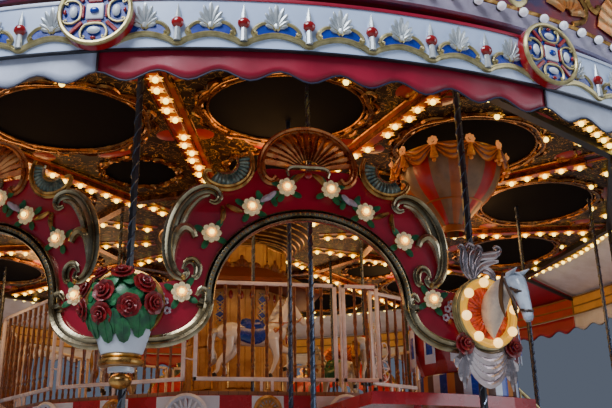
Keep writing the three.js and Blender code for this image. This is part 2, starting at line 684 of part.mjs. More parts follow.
function roseVase() {
  const vase = turned([
    [0, 2350], [85, 2405], [50, 2470], [180, 2540], [150, 2590], [220, 2750], [300, 2950], [270, 3120],
    [0, 3280],
  ], 12);
  const frontHalf = block(-400, 400, -400, 0, 2300, 3400);
  return toGeometry(toSolid(vase).intersect(toSolid(frontHalf))).translate(0, -ORNAMENT_BACK, 0);
}

const SHIELD_HEIGHT = 3000;
const SHIELD_RADIUS = 290;

function horseShield() {
  const dish = turned([
    [0, 0], [SHIELD_RADIUS, 0], [SHIELD_RADIUS, 50], [240, 90], [205, 60], [0, 75],
  ], 12).rotateX(Math.PI / 2).translate(0, -ORNAMENT_BACK, SHIELD_HEIGHT);
  const reach = ORNAMENT_BACK;
  const head = polygon([
    [reach + 20, 3120], [reach + 20, 2890], [reach + 190, 2960], [reach + 255, 3060], [reach + 300, 2900],
    [reach + 385, 2880], [reach + 380, 3120], [reach + 330, 3220], [reach + 250, 3270], [reach + 120, 3230],
  ]);
  const plume = polygon([
    [-120, 3250], [-230, 3400], [-150, 3520], [-40, 3560], [90, 3540], [190, 3470], [170, 3340], [120, 3250],
  ]);
  const swag = polygon([
    [-240, 2860], [-270, 2420], [-190, 2330], [-140, 2480], [0, 2430], [140, 2480], [190, 2330], [270, 2420],
    [240, 2860], [130, 2770], [-130, 2770],
  ]);
  return union([
    dish,
    radialBoard(head, 120),
    board(plume, ORNAMENT_BACK, 60),
    board(swag, ORNAMENT_BACK, 70),
  ]);
}

// A vase on the post between the two arches, and a shield on the post at either end
function addOrnaments() {
  ARCADES.forEach(([side, azimuth]) => {
    addPiece(`rose_vase_${side}`, roseVase(), FINISHES.roseVase(), azimuth);
    addPiece(`horse_shield_${side}_left`, horseShield(), FINISHES.gold(), azimuth - BAY_ANGLE);
    addPiece(`horse_shield_${side}_right`, horseShield(), FINISHES.gold(), azimuth + BAY_ANGLE);
  });
}

// Balloon car: a basket that spins on its pedestal under a balloon carried on a central post

function addBalloonCar() {
  const [x, y] = atPolar(BALLOON_CIRCLE, BALLOON_AZIMUTH);
  const floorTop = BASKET_BOTTOM + 50;
  const footRadius = BASKET_RADIUS * 0.8;
  const waistRadius = BASKET_RADIUS * 0.95;
  const waist = BASKET_BOTTOM + 220;
  const basket = turned([
    [0, BASKET_BOTTOM], [footRadius, BASKET_BOTTOM], [waistRadius, waist], [BASKET_RADIUS, BASKET_TOP],
    [BASKET_RADIUS - BASKET_WALL, BASKET_TOP], [waistRadius - BASKET_WALL, waist],
    [footRadius - BASKET_WALL, floorTop], [0, floorTop],
  ], 16).translate(x, y, 0);
  addPiece('balloon_basket', basket, FINISHES.deckRed());
  const postFoot = floorTop + SEAT_GAP;
  const envelope = turned([
    [0, postFoot], [130, postFoot], [130, postFoot + 20], [BALLOON_POST_RADIUS, postFoot + 20],
    [BALLOON_POST_RADIUS, 3960], [110, 4000],
    [115, 4070], [200, 4190], [360, 4340], [460, 4480], [505, 4620], [BALLOON_RADIUS, 4720],
    [BALLOON_RADIUS, 4760], [380, 4810], [0, 4830],
  ], 12).translate(x, y, 0);
  addPiece('balloon', envelope, FINISHES.balloonCloth());
}

// Horses

// One horse facing +X, its pole through the origin and its back at height zero
function horse(size) {
  const side = sideBoard([
    [-0.40, -0.05], [-0.50, -0.18], [-0.44, -0.34], [-0.24, -0.30], [0.22, -0.32], [0.40, -0.20], [0.52, 0.10],
    [0.68, 0.00], [0.74, 0.10], [0.58, 0.34], [0.44, 0.36], [0.24, 0.02], [0, -0.04],
  ], size, 0.24, 0);
  const legs = [[0.30, 0.05, 1], [0.24, -0.12, -1], [-0.24, 0.12, 1], [-0.30, -0.05, -1]].map(([x, lean, hand]) => (
    sideBoard([
      [x - 0.05, -0.24], [x - 0.04 + lean, -0.72], [x + 0.04 + lean, -0.72], [x + 0.06, -0.24],
    ], size, 0.07, hand * 0.07)
  ));
  return [side, ...legs];
}

// An upright board along X, drawn in parts of the horse's size, centred on the given side offset
function sideBoard(outline, size, thickness, offset) {
  const shape = polygon(outline.map(([x, z]) => [x * size, z * size]));
  return new THREE.ExtrudeGeometry(shape, { depth: thickness * size, bevelEnabled: false })
    .rotateX(Math.PI / 2).translate(0, (offset + thickness / 2) * size, 0);
}

const CRANK_BAR_BOTTOM = CEILING_UNDERSIDE + CEILING_THICKNESS + HORSE_STROKE + 10;
const CRANK_BAR_TOP = CRANK_BAR_BOTTOM + 30;

function horseOnPole(circle, size, backHeight, poleFoot) {
  return [
    ...horse(size).map((piece) => piece.translate(0, -circle, backHeight)),
    rod(HORSE_POLE_RADIUS, poleFoot, CRANK_BAR_TOP, 0, -circle),
  ];
}

function addHorses() {
  const lowerFoot = PLATFORM_TOP - PLATFORM_THICKNESS - HORSE_STROKE + 5;
  const deckFoot = DECK_TOP - HORSE_STROKE - 30;
  range(HORSE_COUNT).forEach((index) => {
    const pair = union([
      ...horseOnPole(OUTER_HORSE_CIRCLE, 1000, PLATFORM_TOP + 1050, lowerFoot),
      ...horseOnPole(INNER_HORSE_CIRCLE, 900, PLATFORM_TOP + 980, lowerFoot),
      block(-20, 20, -OUTER_HORSE_CIRCLE, -INNER_HORSE_CIRCLE, CRANK_BAR_BOTTOM, CRANK_BAR_TOP),
    ]);
    addPiece(`horse_pair_${index + 1}`, pair, FINISHES.horseWhite(), lowerHorseAzimuth(index));
    const deckHorse = union(horseOnPole(DECK_HORSE_CIRCLE, 850, DECK_TOP + 900, deckFoot));
    addPiece(`deck_horse_${index + 1}`, deckHorse, FINISHES.horseWhite(), deckHorseAzimuth(index));
  });
}

addBase();
addLowerDeck();
addUpperDeck();
addUpperHousing();
addBalcony();
addStair();
addCeiling();
addTopFrame();
addAwning();
addFasciaRing();
addCrown();
addRoof();
addArcades();
addOrnaments();
addBalloonCar();
addHorses();

export default carousel;
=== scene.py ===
"""Looks of a fairground carousel with two decks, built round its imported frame. Metres, +Z up, front at -Y."""
from math import atan2, cos, pi, radians, sin, sqrt, tan, tau

import bmesh
import bpy
from bpy.props import FloatProperty, FloatVectorProperty, IntProperty, PointerProperty
from mathutils import Matrix, Vector, noise


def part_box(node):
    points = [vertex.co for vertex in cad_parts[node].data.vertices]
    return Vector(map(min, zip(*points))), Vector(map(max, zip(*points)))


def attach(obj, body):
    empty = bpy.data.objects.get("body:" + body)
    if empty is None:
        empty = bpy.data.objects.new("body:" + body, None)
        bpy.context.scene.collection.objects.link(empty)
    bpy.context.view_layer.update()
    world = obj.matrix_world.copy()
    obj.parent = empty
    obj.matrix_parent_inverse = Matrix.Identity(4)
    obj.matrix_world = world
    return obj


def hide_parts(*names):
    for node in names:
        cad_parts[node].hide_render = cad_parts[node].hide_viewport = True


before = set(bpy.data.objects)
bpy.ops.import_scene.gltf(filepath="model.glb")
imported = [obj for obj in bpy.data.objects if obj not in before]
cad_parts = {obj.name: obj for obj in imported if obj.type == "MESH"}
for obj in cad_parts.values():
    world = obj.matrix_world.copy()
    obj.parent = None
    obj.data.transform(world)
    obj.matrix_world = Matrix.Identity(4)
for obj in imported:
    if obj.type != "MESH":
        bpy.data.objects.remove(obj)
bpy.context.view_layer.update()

bl_info = {
    "name": "Two-deck carousel",
    "version": (1, 0, 0),
    "blender": (4, 5, 0),
    "location": "3D View > Sidebar > Carousel",
    "description": "Carved, painted and lit pieces of a fairground carousel",
    "category": "Add Mesh",
}

# Main places and sizes of the machine, from the frame where it has them

BAYS = 12
BAY = tau / BAYS
HALF_BAY = BAY / 2
HORSES = 6
PLATFORM_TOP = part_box("lower_platform")[1].z
DECK_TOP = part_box("upper_deck")[1].z
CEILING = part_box("ceiling")[0].z
RING_RADIUS = 6.38
RING_FOOT, RING_HEAD = 4.487, 4.862
RING_SIDES = 240
CROWN_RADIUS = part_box("crown_boards")[1].x
CROWN_BOTTOM, CROWN_TOP = (corner.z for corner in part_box("crown_boards"))
POST_CIRCLE = 5.29
FENCE_CORNER = 3.04
BALLOON_CENTRE = Vector((*((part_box("balloon")[0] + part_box("balloon")[1]) / 2).xy, 0))
LINING_RADIUS = 6.348
LINING_FOOT, LINING_HEAD = 4.56, 4.855

TURNTABLE = "turntable"


# Settings that a user would change

def number(name, description, default, most=48):
    return IntProperty(name=name, description=description, default=default, min=1, max=most)


def metres(name, description, default):
    return FloatProperty(name=name, description=description, default=default, min=0.001, unit="LENGTH",
        subtype="DISTANCE")


def hue(name, description, default):
    return FloatVectorProperty(name=name, description=description, default=default, subtype="COLOR", size=3,
        min=0.0, max=1.0)


def watts(name, description, default):
    return FloatProperty(name=name, description=description, default=default, min=0.0, unit="POWER")


class CarouselSizes(bpy.types.PropertyGroup):
    """Counts and sizes of the ornament"""
    palmettes: number("Palmettes", "Palmettes on each bay of the fascia", 7, 9)
    scallops: number("Scallops", "Scallops on each bay of the valance", 8)
    globes: number("Crown globes", "Lamp globes on each bay of the crown boards", 15)
    gores: number("Gores", "Gores of the balloon", 16)
    rim_lamps: number("Rim lamps", "Lamps on each bay of the ceiling's rim", 15)
    skirt_panels: number("Skirt panels", "Panels on each bay of the platform's edge", 4, 6)
    lamp_pitch: metres("Lamp pitch", "Distance between the lamps of an arm", 0.2)
    baluster_pitch: metres("Baluster pitch", "Distance between the balusters of the fence", 0.143)
    rose_radius: metres("Rose radius", "Size of the lit roses on the arches", 0.085)
    strand_rise: metres("Strand rise", "Height in which a post's strand winds once round", 0.3)
    canvas_thickness: metres("Canvas thickness", "Thickness of the valance and awning cloth", 0.002)


class CarouselPaints(bpy.types.PropertyGroup):
    """Colours of the paints, leaf and cloth"""
    crimson: hue("Crimson", "Boards of the arches", (0.44, 0.012, 0.035))
    deck_red: hue("Deck red", "Deck edge, skirt and basket", (0.42, 0.012, 0.02))
    # The two whites below carry a painted blue cast of dusk light over white paint.
    fascia_white: hue("Fascia white", "Fascia ring", (0.56, 0.68, 0.95))
    gloss_white: hue("Gloss white", "Vases, panels and cabochons", (0.68, 0.74, 0.86))
    canvas_red: hue("Canvas red", "Red bays of the cloth", (0.33, 0.004, 0.03))
    # The white of the cloth carries a painted blue cast of dusk light.
    canvas_white: hue("Canvas white", "White bays of the cloth", (0.64, 0.7, 0.9))
    champagne: hue("Champagne leaf", "Carved scrolls of the arches", (0.56, 0.48, 0.31))
    gold: hue("Old gold", "Shells, frames and reliefs", (0.62, 0.35, 0.1))
    worn_gold: hue("Worn gold", "Mouldings of the fascia", (0.55, 0.46, 0.22))
    blue: hue("Blue enamel", "Fields, medallions and lozenges", (0.008, 0.045, 0.4))
    red: hue("Red enamel", "Knobs, studs and medallion drums", (0.33, 0.008, 0.01))
    green: hue("Leaf green", "Leaves of the roses", (0.015, 0.17, 0.05))
    roses: hue("Rose red", "Roses of the vases and shields", (0.26, 0.006, 0.01))
    boards: hue("Amber cream", "Boards of the centre housing", (0.56, 0.31, 0.1))
    floor: hue("Floor boards", "Varnished decks and treads", (0.3, 0.15, 0.07))
    lamp: hue("Lamp light", "Light of the small lamps", (1.0, 0.74, 0.14))


class CarouselStage(bpy.types.PropertyGroup):
    """Light and lens of the stage"""
    key_power: watts("Key", "Power of the light over the camera's left shoulder", 5000)
    fill_power: watts("Fill", "Power of the light from the right", 800)
    rear_power: watts("Rear", "Power of the light behind", 1300)
    lamp_power: watts("Lamps", "Power of each warm light under the ceiling", 50)
    sky: FloatProperty(name="Sky", description="Strength of the sky's soft light", default=0.23, min=0.0)
    lens: FloatProperty(name="Lens", description="Focal length of the view", default=47.4, min=10.0,
        unit="CAMERA")


def sizes():
    return bpy.context.scene.carousel_sizes


def paints():
    return bpy.context.scene.carousel_paints


def at(radius, azimuth, height=0.0):
    """A point by its radius and its azimuth, measured from the front towards +X."""
    return Vector((radius * sin(azimuth), -radius * cos(azimuth), height))


def turn(azimuth):
    return Matrix.Rotation(azimuth, 4, "Z")


def shift(x, y, z):
    return Matrix.Translation((x, y, z))


def joint_azimuths():
    """The azimuths of the posts, between the bays."""
    return [HALF_BAY + bay * BAY for bay in range(BAYS)]


def joint_places():
    return [turn(azimuth) for azimuth in joint_azimuths()]


def bay_places():
    return [turn(bay * BAY) for bay in range(BAYS)]


def arcade_azimuths():
    """The posts between the two arches of each pair: one pair at the front, one at the back."""
    return [-HALF_BAY, pi - HALF_BAY]


def arch_azimuths():
    return [azimuth + hand * HALF_BAY for azimuth in arcade_azimuths() for hand in (-1, 1)]


# Shapes; each is a bmesh of its own, drawn at the origin or at the front of the machine

def turned(profile, sides=32, angle=tau):
    """A profile of (radius, height) points turned about the upright axis."""
    part = bmesh.new()
    points = [part.verts.new((radius, 0, height)) for radius, height in profile]
    edges = [part.edges.new(pair) for pair in zip(points, points[1:])]
    whole = angle >= tau
    bmesh.ops.spin(part, geom=points + edges, axis=(0, 0, 1), cent=(0, 0, 0), angle=angle, steps=sides,
        use_merge=whole, use_duplicate=False)
    bmesh.ops.remove_doubles(part, verts=part.verts, dist=1e-5)
    bmesh.ops.recalc_face_normals(part, faces=part.faces)
    return part


def strands(foot, head, radius, rise):
    """Two raised strands that wind up a round bar about the upright axis, one turn for each rise."""
    part = bmesh.new()
    turns = (head - foot) / rise
    steps = int(turns * 8)
    lift = (head - foot - 0.04) / steps
    for start in (0, pi):
        strand = bmesh.new()
        corners = [strand.verts.new(Matrix.Rotation(start, 3, "Z") @ Vector(corner))
            for corner in ((radius * 0.75, 0, foot), (radius, 0, foot + 0.018),
            (radius * 0.75, 0, foot + 0.036))]
        edges = [strand.edges.new(pair) for pair in zip(corners, corners[1:])]
        bmesh.ops.spin(strand, geom=corners + edges, axis=(0, 0, 1), cent=(0, 0, 0), dvec=(0, 0, lift),
            angle=tau * turns, steps=steps, use_duplicate=False)
        bmesh.ops.recalc_face_normals(strand, faces=strand.faces)
        join(part, strand)
    return part


def round_section(sides=8, flat=1.0):
    return [(cos(tau * i / sides), flat * sin(tau * i / sides)) for i in range(sides)]


def fluted_section(flutes=4, height=0.8, groove=0.72):
    """Half a round bar with grooves along it, flat on its back."""
    points = [(1.0, -0.2)]
    steps = 2 * flutes
    for i in range(steps + 1):
        angle = pi * i / steps
        reach = 1.0 if i % 2 == 0 else groove
        points.append((reach * cos(angle), height * reach * sin(angle)))
    points.append((-1.0, -0.2))
    return points


ROUND = round_section(8)
COARSE = round_section(6)


def sweep(path, radii, section=ROUND, outward=None, closed=False):
    """A bar of the given section along a path; radii is one number or one for each point."""
    part = bmesh.new()
    count = len(path)
    widths = [radii] * count if isinstance(radii, (int, float)) else radii
    frames = []
    for i, point in enumerate(path):
        before = path[i - 1] if i or closed else path[0]
        after = path[(i + 1) % count] if i < count - 1 or closed else path[-1]
        along = (after - before).normalized()
        out = outward(point) if outward else Vector((0, -1, 0))
        side = along.cross(out).normalized()
        out = side.cross(along)
        rotation = Matrix((side, out, along)).transposed().to_4x4()
        frames.append(Matrix.Translation(point) @ rotation @ Matrix.Scale(widths[i], 4))
    ring = [part.verts.new(frames[0] @ Vector((s, w, 0))) for s, w in section]
    first = part.faces.new(ring)
    face = first
    for i in range(1, count):
        made = bmesh.ops.extrude_face_region(part, geom=[face])["geom"]
        face = next(item for item in made if isinstance(item, bmesh.types.BMFace))
        step = frames[i] @ frames[i - 1].inverted()
        bmesh.ops.transform(part, matrix=step, verts=face.verts)
    if closed:
        bmesh.ops.bridge_loops(part, edges=list(first.edges) + list(face.edges))
        bmesh.ops.delete(part, geom=[first, face], context="FACES_ONLY")
    bmesh.ops.recalc_face_normals(part, faces=part.faces)
    return part


def smooth_path(points, steps=5):
    """A rounded line that passes through every point."""
    line = [Vector(point) for point in points]
    ends = [2 * line[0] - line[1]] + line + [2 * line[-1] - line[-2]]
    path = []
    for a, b, c, d in zip(ends, ends[1:], ends[2:], ends[3:]):
        for i in range(steps):
            t = i / steps
            path.append(0.5 * (2 * b + (c - a) * t + (2 * a - 5 * b + 4 * c - d) * t * t
                + (3 * b - a - 3 * c + d) * t ** 3))
    path.append(line[-1])
    return path


def taper(count, start, middle, end):
    """Radii that swell from start to middle and thin out to end."""
    radii = []
    for i in range(count):
        t = i / (count - 1)
        low = start if t < 0.5 else end
        radii.append(low + (middle - low) * sin(pi * t))
    return radii


def there_and_back(half):
    """Half an outline that ends on the middle line, and its mirror image."""
    return half + [(-x, y) for x, y in reversed(half[:-1])]


def upright(points, distance):
    """Points drawn as (across, height) on the upright plane at the front."""
    return [Vector((x, -distance, z)) for x, z in points]


def slab(outline, inner, outer):
    """A board with an outline of (across, height), standing at the front between two distances."""
    part = bmesh.new()
    face = part.faces.new([part.verts.new((x, -inner, z)) for x, z in outline])
    made = bmesh.ops.extrude_face_region(part, geom=[face])["geom"]
    moved = [item for item in made if isinstance(item, bmesh.types.BMVert)]
    bmesh.ops.translate(part, vec=(0, inner - outer, 0), verts=moved)
    bmesh.ops.recalc_face_normals(part, faces=part.faces)
    return part


def rounded(part, width, segments=2):
    """Bevels every sharp edge of a part."""
    sharp = [edge for edge in part.edges if len(edge.link_faces) == 2 and edge.calc_face_angle(0) > 0.6]
    bmesh.ops.bevel(part, geom=sharp, offset=width, affect="EDGES", segments=segments, profile=0.5,
        material=-1, clamp_overlap=True)
    return part


def block(low, high):
    part = bmesh.new()
    bmesh.ops.create_cube(part, size=1)
    low, high = Vector(low), Vector(high)
    size = Matrix.Diagonal((*(high - low), 1))
    bmesh.ops.transform(part, matrix=Matrix.Translation((low + high) / 2) @ size, verts=part.verts)
    return part


def ball(centre, size, around=12, down=8):
    """A ball, or an egg where size is three half-widths."""
    part = bmesh.new()
    scale = (size,) * 3 if isinstance(size, (int, float)) else size
    place = Matrix.Translation(centre) @ Matrix.Diagonal((*scale, 1))
    bmesh.ops.create_uvsphere(part, u_segments=around, v_segments=down, radius=1, matrix=place)
    return part


def rod(start, end, radius, sides=12, end_radius=None):
    part = bmesh.new()
    start, end = Vector(start), Vector(end)
    along = end - start
    place = Matrix.Translation((start + end) / 2) @ along.to_track_quat("Z", "Y").to_matrix().to_4x4()
    far = radius if end_radius is None else end_radius
    bmesh.ops.create_cone(part, cap_ends=True, segments=sides, radius1=radius, radius2=far,
        depth=along.length, matrix=place)
    return part


def join(target, part, place=Matrix.Identity(4), material=None):
    """Adds a part to a piece, moved to its place, and frees it."""
    if material is not None:
        for face in part.faces:
            face.material_index = material
    bmesh.ops.transform(part, matrix=place, verts=part.verts)
    if place.determinant() < 0:
        bmesh.ops.reverse_faces(part, faces=part.faces)
    mesh = bpy.data.meshes.new("part")
    part.to_mesh(mesh)
    part.free()
    target.from_mesh(mesh)
    bpy.data.meshes.remove(mesh)


def copies(target, part, places):
    """Adds a part to a piece once at each place, and frees it."""
    for place in places[:-1]:
        join(target, part.copy(), place)
    join(target, part, places[-1])


def repeated(part, places):
    """A part once at each place, as one bmesh."""
    whole = bmesh.new()
    copies(whole, part, places)
    return whole


def joined(whole, *parts):
    """Parts as one bmesh, in their order."""
    for part in parts:
        join(whole, part)
    return whole


def mirrored(part):
    """The part and its mirror image across the middle of the bay."""
    twin = part.copy()
    join(part, twin, Matrix.Diagonal((-1, 1, 1, 1)))
    return part


def add_object(name, data):
    made = bpy.data.objects.new(name, data)
    bpy.context.scene.collection.objects.link(made)
    return made


def make_piece(name, part, materials, replaces=(), body=TURNTABLE):
    """Turns a finished bmesh into a piece that rides on a body."""
    mesh = bpy.data.meshes.new(name)
    part.to_mesh(mesh)
    part.free()
    for material in materials:
        mesh.materials.append(material)
    mesh.polygons.foreach_set("use_smooth", [True] * len(mesh.polygons))
    mesh.set_sharp_from_angle(angle=radians(35))
    piece = add_object(name, mesh)
    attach(piece, body)
    if replaces:
        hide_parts(*replaces)
    return piece


# Materials

def shade(colour, factor):
    return (*(min(1.0, channel * factor) for channel in colour[:3]), 1)


def nodes_of(material):
    """A material's node tree, the function that links two sockets, and its shader."""
    tree = material.node_tree
    return tree, tree.links.new, tree.nodes["Principled BSDF"]


def node(tree, kind, **values):
    made = tree.nodes.new(kind)
    for key, value in values.items():
        if key in made.inputs:
            made.inputs[key].default_value = value
        else:
            setattr(made, key, value)
    return made


def surface(name, colour, roughness=0.35, metallic=0.0, second=None, patch=4.0, grain=60.0, bump=0.15,
        coat=0.0, wear=0.12, hollow_shade=None, ridge=(0.4, 0.52)):
    """A painted, gilded or cloth surface: patches of a second tone, painted shade in the hollows, gloss, fine
    relief.
    """
    material = bpy.data.materials.get(name)
    if material:
        return material
    material = bpy.data.materials.new(name)
    material.use_nodes = True
    tree, link, shader = nodes_of(material)
    shader.inputs["Metallic"].default_value = metallic
    shader.inputs["Coat Weight"].default_value = coat
    shader.inputs["Coat Roughness"].default_value = 0.12
    place = node(tree, "ShaderNodeTexCoord").outputs["Object"]
    patches = node(tree, "ShaderNodeTexNoise", Scale=patch, Detail=5.0, Roughness=0.6)
    fine = node(tree, "ShaderNodeTexNoise", Scale=grain, Detail=4.0)
    link(place, patches.inputs["Vector"])
    link(place, fine.inputs["Vector"])
    ramp = node(tree, "ShaderNodeValToRGB")
    ramp.color_ramp.elements[0].position = 0.38
    ramp.color_ramp.elements[0].color = (*(second or shade(colour, 1 - 2.2 * wear))[:3], 1)
    ramp.color_ramp.elements[1].position = 0.58
    ramp.color_ramp.elements[1].color = (*colour[:3], 1)
    link(patches.outputs["Fac"], ramp.inputs["Fac"])
    link(ramp.outputs["Color"], shader.inputs["Base Color"])
    # Painted shade: the colour darkens towards a given shade colour where the surface is concave, in grooves,
    # flutes and folds; the ridge range sets where it fades back to the full colour.
    if hollow_shade:
        depth = node(tree, "ShaderNodeMapRange")
        depth.inputs["From Min"].default_value, depth.inputs["From Max"].default_value = ridge
        mixed = node(tree, "ShaderNodeMix", data_type="RGBA")
        link(node(tree, "ShaderNodeNewGeometry").outputs["Pointiness"], depth.inputs["Value"])
        link(depth.outputs["Result"], mixed.inputs["Factor"])
        mixed.inputs["A"].default_value = (*hollow_shade, 1)
        link(ramp.outputs["Color"], mixed.inputs["B"])
        link(mixed.outputs["Result"], shader.inputs["Base Color"])
    gloss = node(tree, "ShaderNodeMapRange")
    gloss.inputs["To Min"].default_value = max(0.04, roughness - 0.1)
    gloss.inputs["To Max"].default_value = min(1.0, roughness + 0.14)
    link(patches.outputs["Fac"], gloss.inputs["Value"])
    link(gloss.outputs["Result"], shader.inputs["Roughness"])
    relief = node(tree, "ShaderNodeBump", Strength=bump, Distance=0.004)
    link(fine.outputs["Fac"], relief.inputs["Height"])
    link(relief.outputs["Normal"], shader.inputs["Normal"])
    return material


def glow(name, colour, strength, body=(1.0, 0.9, 0.7)):
    """Lamp glass, or a lit petal or other part whose lamp light is painted on as a glow: a glossy body that
    shines.
    """
    material = bpy.data.materials.get(name)
    if material:
        return material
    material = surface(name, body, roughness=0.12, patch=9.0, grain=90.0, bump=0.03, coat=0.4)
    _, _, shader = nodes_of(material)
    shader.inputs["Emission Color"].default_value = (*colour, 1)
    shader.inputs["Emission Strength"].default_value = strength
    return material


# Finishes

def crimson_paint():
    return surface("crimson gloss paint", paints().crimson, roughness=0.22, coat=0.5, patch=1.6, bump=0.04)


def scroll_silver():
    # Painted shade darkens the hollows of the scrolls.
    return surface("aged champagne leaf", paints().champagne, roughness=0.22, metallic=0.88,
        second=(0.32, 0.22, 0.1), patch=6.0, bump=0.08, hollow_shade=(0.014, 0.01, 0.005), ridge=(0.47, 0.56))


def old_gold():
    # Painted shade darkens the hollows of the carving.
    return surface("old gold leaf", paints().gold, roughness=0.28, metallic=0.85, second=(0.24, 0.11, 0.03),
        patch=12.0, bump=0.12, hollow_shade=(0.06, 0.02, 0.006))


def red_bronze():
    # Painted shade darkens the hollows of the shells.
    return surface("red bronze leaf", (0.5, 0.2, 0.07), roughness=0.26, metallic=0.85,
        second=(0.3, 0.07, 0.025), patch=10.0, bump=0.1, hollow_shade=(0.05, 0.012, 0.004))


def pale_silver():
    # Painted shade darkens the hollows of the palmettes.
    return surface("pale silver paint", (0.55, 0.58, 0.6), roughness=0.32, metallic=0.45,
        second=(0.42, 0.46, 0.5), patch=16.0, bump=0.1, hollow_shade=(0.1, 0.12, 0.15))


def white_gloss():
    return surface("white gloss paint", paints().gloss_white, roughness=0.25, coat=0.3, patch=2.0, bump=0.03,
        wear=0.06)


def fascia_paint():
    return surface("white fascia paint", paints().fascia_white, roughness=0.2, coat=0.4, patch=1.4, bump=0.02,
        wear=0.05)


def pale_gold():
    # Painted shade darkens the hollows of the mouldings.
    return surface("pale worn gold", paints().worn_gold, roughness=0.32, metallic=0.6,
        second=(0.38, 0.31, 0.14), patch=16.0, bump=0.1, hollow_shade=(0.03, 0.025, 0.012), ridge=(0.44, 0.54))


def blue_enamel():
    return surface("blue enamel", paints().blue, roughness=0.25, coat=0.3, patch=8.0, bump=0.04)


def red_enamel():
    return surface("red enamel", paints().red, roughness=0.18, coat=0.5, patch=8.0, bump=0.04)


def leaf_green():
    return surface("dark green gloss", paints().green, roughness=0.4, coat=0.08, second=(0.004, 0.07, 0.03),
        patch=14.0, bump=0.12)


def dark_rose():
    return surface("dark red petals", paints().roses, roughness=0.42, coat=0.12, second=(0.09, 0.002, 0.004),
        patch=22.0, bump=0.1)


def dark_steel():
    return surface("dark steel paint", (0.035, 0.036, 0.045), roughness=0.3, metallic=0.4, patch=5.0,
        bump=0.06)


# Painted light: the arch roses' petals glow as if lit by their lamps; they are no lamps themselves.
def lit_petal():
    return glow("lit cream petals", (1.0, 0.72, 0.3), 0.12, body=(0.9, 0.76, 0.5))


def lamp_glass():
    return glow("warm lamp glass", paints().lamp, 4.5, body=(1.0, 0.82, 0.3))


def steel_blue():
    return surface("blue-black steel pole", (0.09, 0.11, 0.16), roughness=0.24, metallic=0.8)


def deck_red():
    return surface("deck red paint", paints().deck_red, roughness=0.25, coat=0.4, patch=3.0)


def amber_boards():
    return surface("amber cream boards", paints().boards, coat=0.2, second=(0.36, 0.16, 0.04), patch=5.0)


def globe_glass():
    return glow("white lamp globe", (0.85, 0.88, 1.0), 0.35, body=(0.85, 0.86, 0.92))


# Flowers and leaves, facing the front at the origin

def petal(angle, reach, tilt, size, depth):
    """One petal that points away from the middle at an angle and rises towards the viewer by a tilt."""
    part = bmesh.new()
    place = (Matrix.Rotation(-angle, 4, "Y") @ shift(reach, -depth, 0) @ turn(-tilt)
        @ Matrix.Diagonal((*size, 1)))
    bmesh.ops.create_uvsphere(part, u_segments=6, v_segments=4, radius=1, matrix=place)
    return part


def flower(radius, petals=8, rings=1, tilt=0.35):
    part = bmesh.new()
    for layer in range(rings):
        shrink = 1 - 0.3 * layer
        size = (0.40 * radius * shrink, 0.10 * radius, 0.42 * radius * shrink * min(1, 6 / petals))
        for i in range(petals):
            angle = tau * (i + 0.5 * layer) / petals
            join(part, petal(angle, 0.6 * radius * shrink, tilt * (1 + layer), size,
                0.12 * radius * (1 + layer)))
    return part


def leaf(length, width, angle, centre, lift=0.004, around=6, along=5):
    part = bmesh.new()
    place = (Matrix.Translation(centre) @ Matrix.Rotation(-angle, 4, "Y") @ turn(-0.25)
        @ Matrix.Diagonal((length / 2, lift, width / 2, 1)) @ Matrix.Rotation(pi / 2, 4, "Y"))
    bmesh.ops.create_uvsphere(part, u_segments=around, v_segments=along, radius=1, matrix=place)
    return part


# Arches between the posts

ARCH_INNER = POST_CIRCLE * cos(HALF_BAY) + 0.0303
ARCH_FACE = ARCH_INNER + 0.03
BAY_HALF_WIDTH = ARCH_FACE * tan(HALF_BAY)
SPRINGING = 3.02
ARCH_ROSES = [(0.18, 3.94), (0.46, 3.76), (0.77, 3.53), (0.98, 3.06)]
SHELL_CENTRE = (0.0, 4.1)


def ellipse(half_width, half_height, centre_z, start, end, steps):
    angles = [start + (end - start) * i / steps for i in range(steps + 1)]
    return [(half_width * cos(a), centre_z + half_height * sin(a)) for a in angles]


def arch_board():
    """The painted board of one bay, cut to the line of its carving."""
    outer = [(0.42, 4.09), (0.47, 4.02), (0.58, 3.93), (0.72, 3.88), (0.86, 3.86), (0.99, 3.76), (1.07, 3.6),
        (1.09, 3.42), (1.06, 3.26), (0.99, 3.17)]
    edge = [(p.x, p.z) for p in smooth_path(upright(outer, 0), 3)]
    foot = [(1.2, 2.7), (1.0, 2.76), (0.87, 2.88), (0.8, 3.0)]
    foot = [(p.x, p.z) for p in smooth_path(upright(foot, 0), 4)]
    half = edge + [(1.1, 3.14), (BAY_HALF_WIDTH, 3.11), (BAY_HALF_WIDTH, 2.71)] + foot
    opening = ellipse(0.735, 0.655, SPRINGING, 0, pi, 40)
    other = [(-x, z) for x, z in reversed(half)]
    crest = [(-0.3, 4.11), (0.3, 4.11)]
    return rounded(slab(half + opening + other + crest, ARCH_INNER, ARCH_FACE), 0.004)


def shell(centre, inner, outer, start, end, flutes, swell, back, squash=1.0):
    """A fluted shell on the upright plane: its flutes spread from the centre between two angles."""
    part = bmesh.new()
    bmesh.ops.create_grid(part, x_segments=flutes * 4, y_segments=3, size=0.5)
    for vert in part.verts:
        share, reach = vert.co.x + 0.5, vert.co.y + 0.5
        angle = start + (end - start) * share
        radius = inner + (outer - inner) * reach
        ridge = abs(sin(pi * flutes * share))
        rise = swell * (0.25 + ridge) * sin(pi * (0.12 + 0.8 * reach))
        across, height = centre[0] + radius * cos(angle), centre[1] + squash * radius * sin(angle)
        vert.co = Vector((across, -(back + rise), height))
    bmesh.ops.recalc_face_normals(part, faces=part.faces)
    bmesh.ops.solidify(part, geom=part.faces[:], thickness=0.012)
    return part


def scroll(points, start, middle, end, lift=0.02, section=None, steps=4, distance=None):
    """A carved scroll through points on the arch, thin at its start and end."""
    path = smooth_path(upright(points, (distance or ARCH_FACE) + lift), steps)
    return sweep(path, taper(len(path), start, middle, end), section or fluted_section(3, 0.9, 0.5))


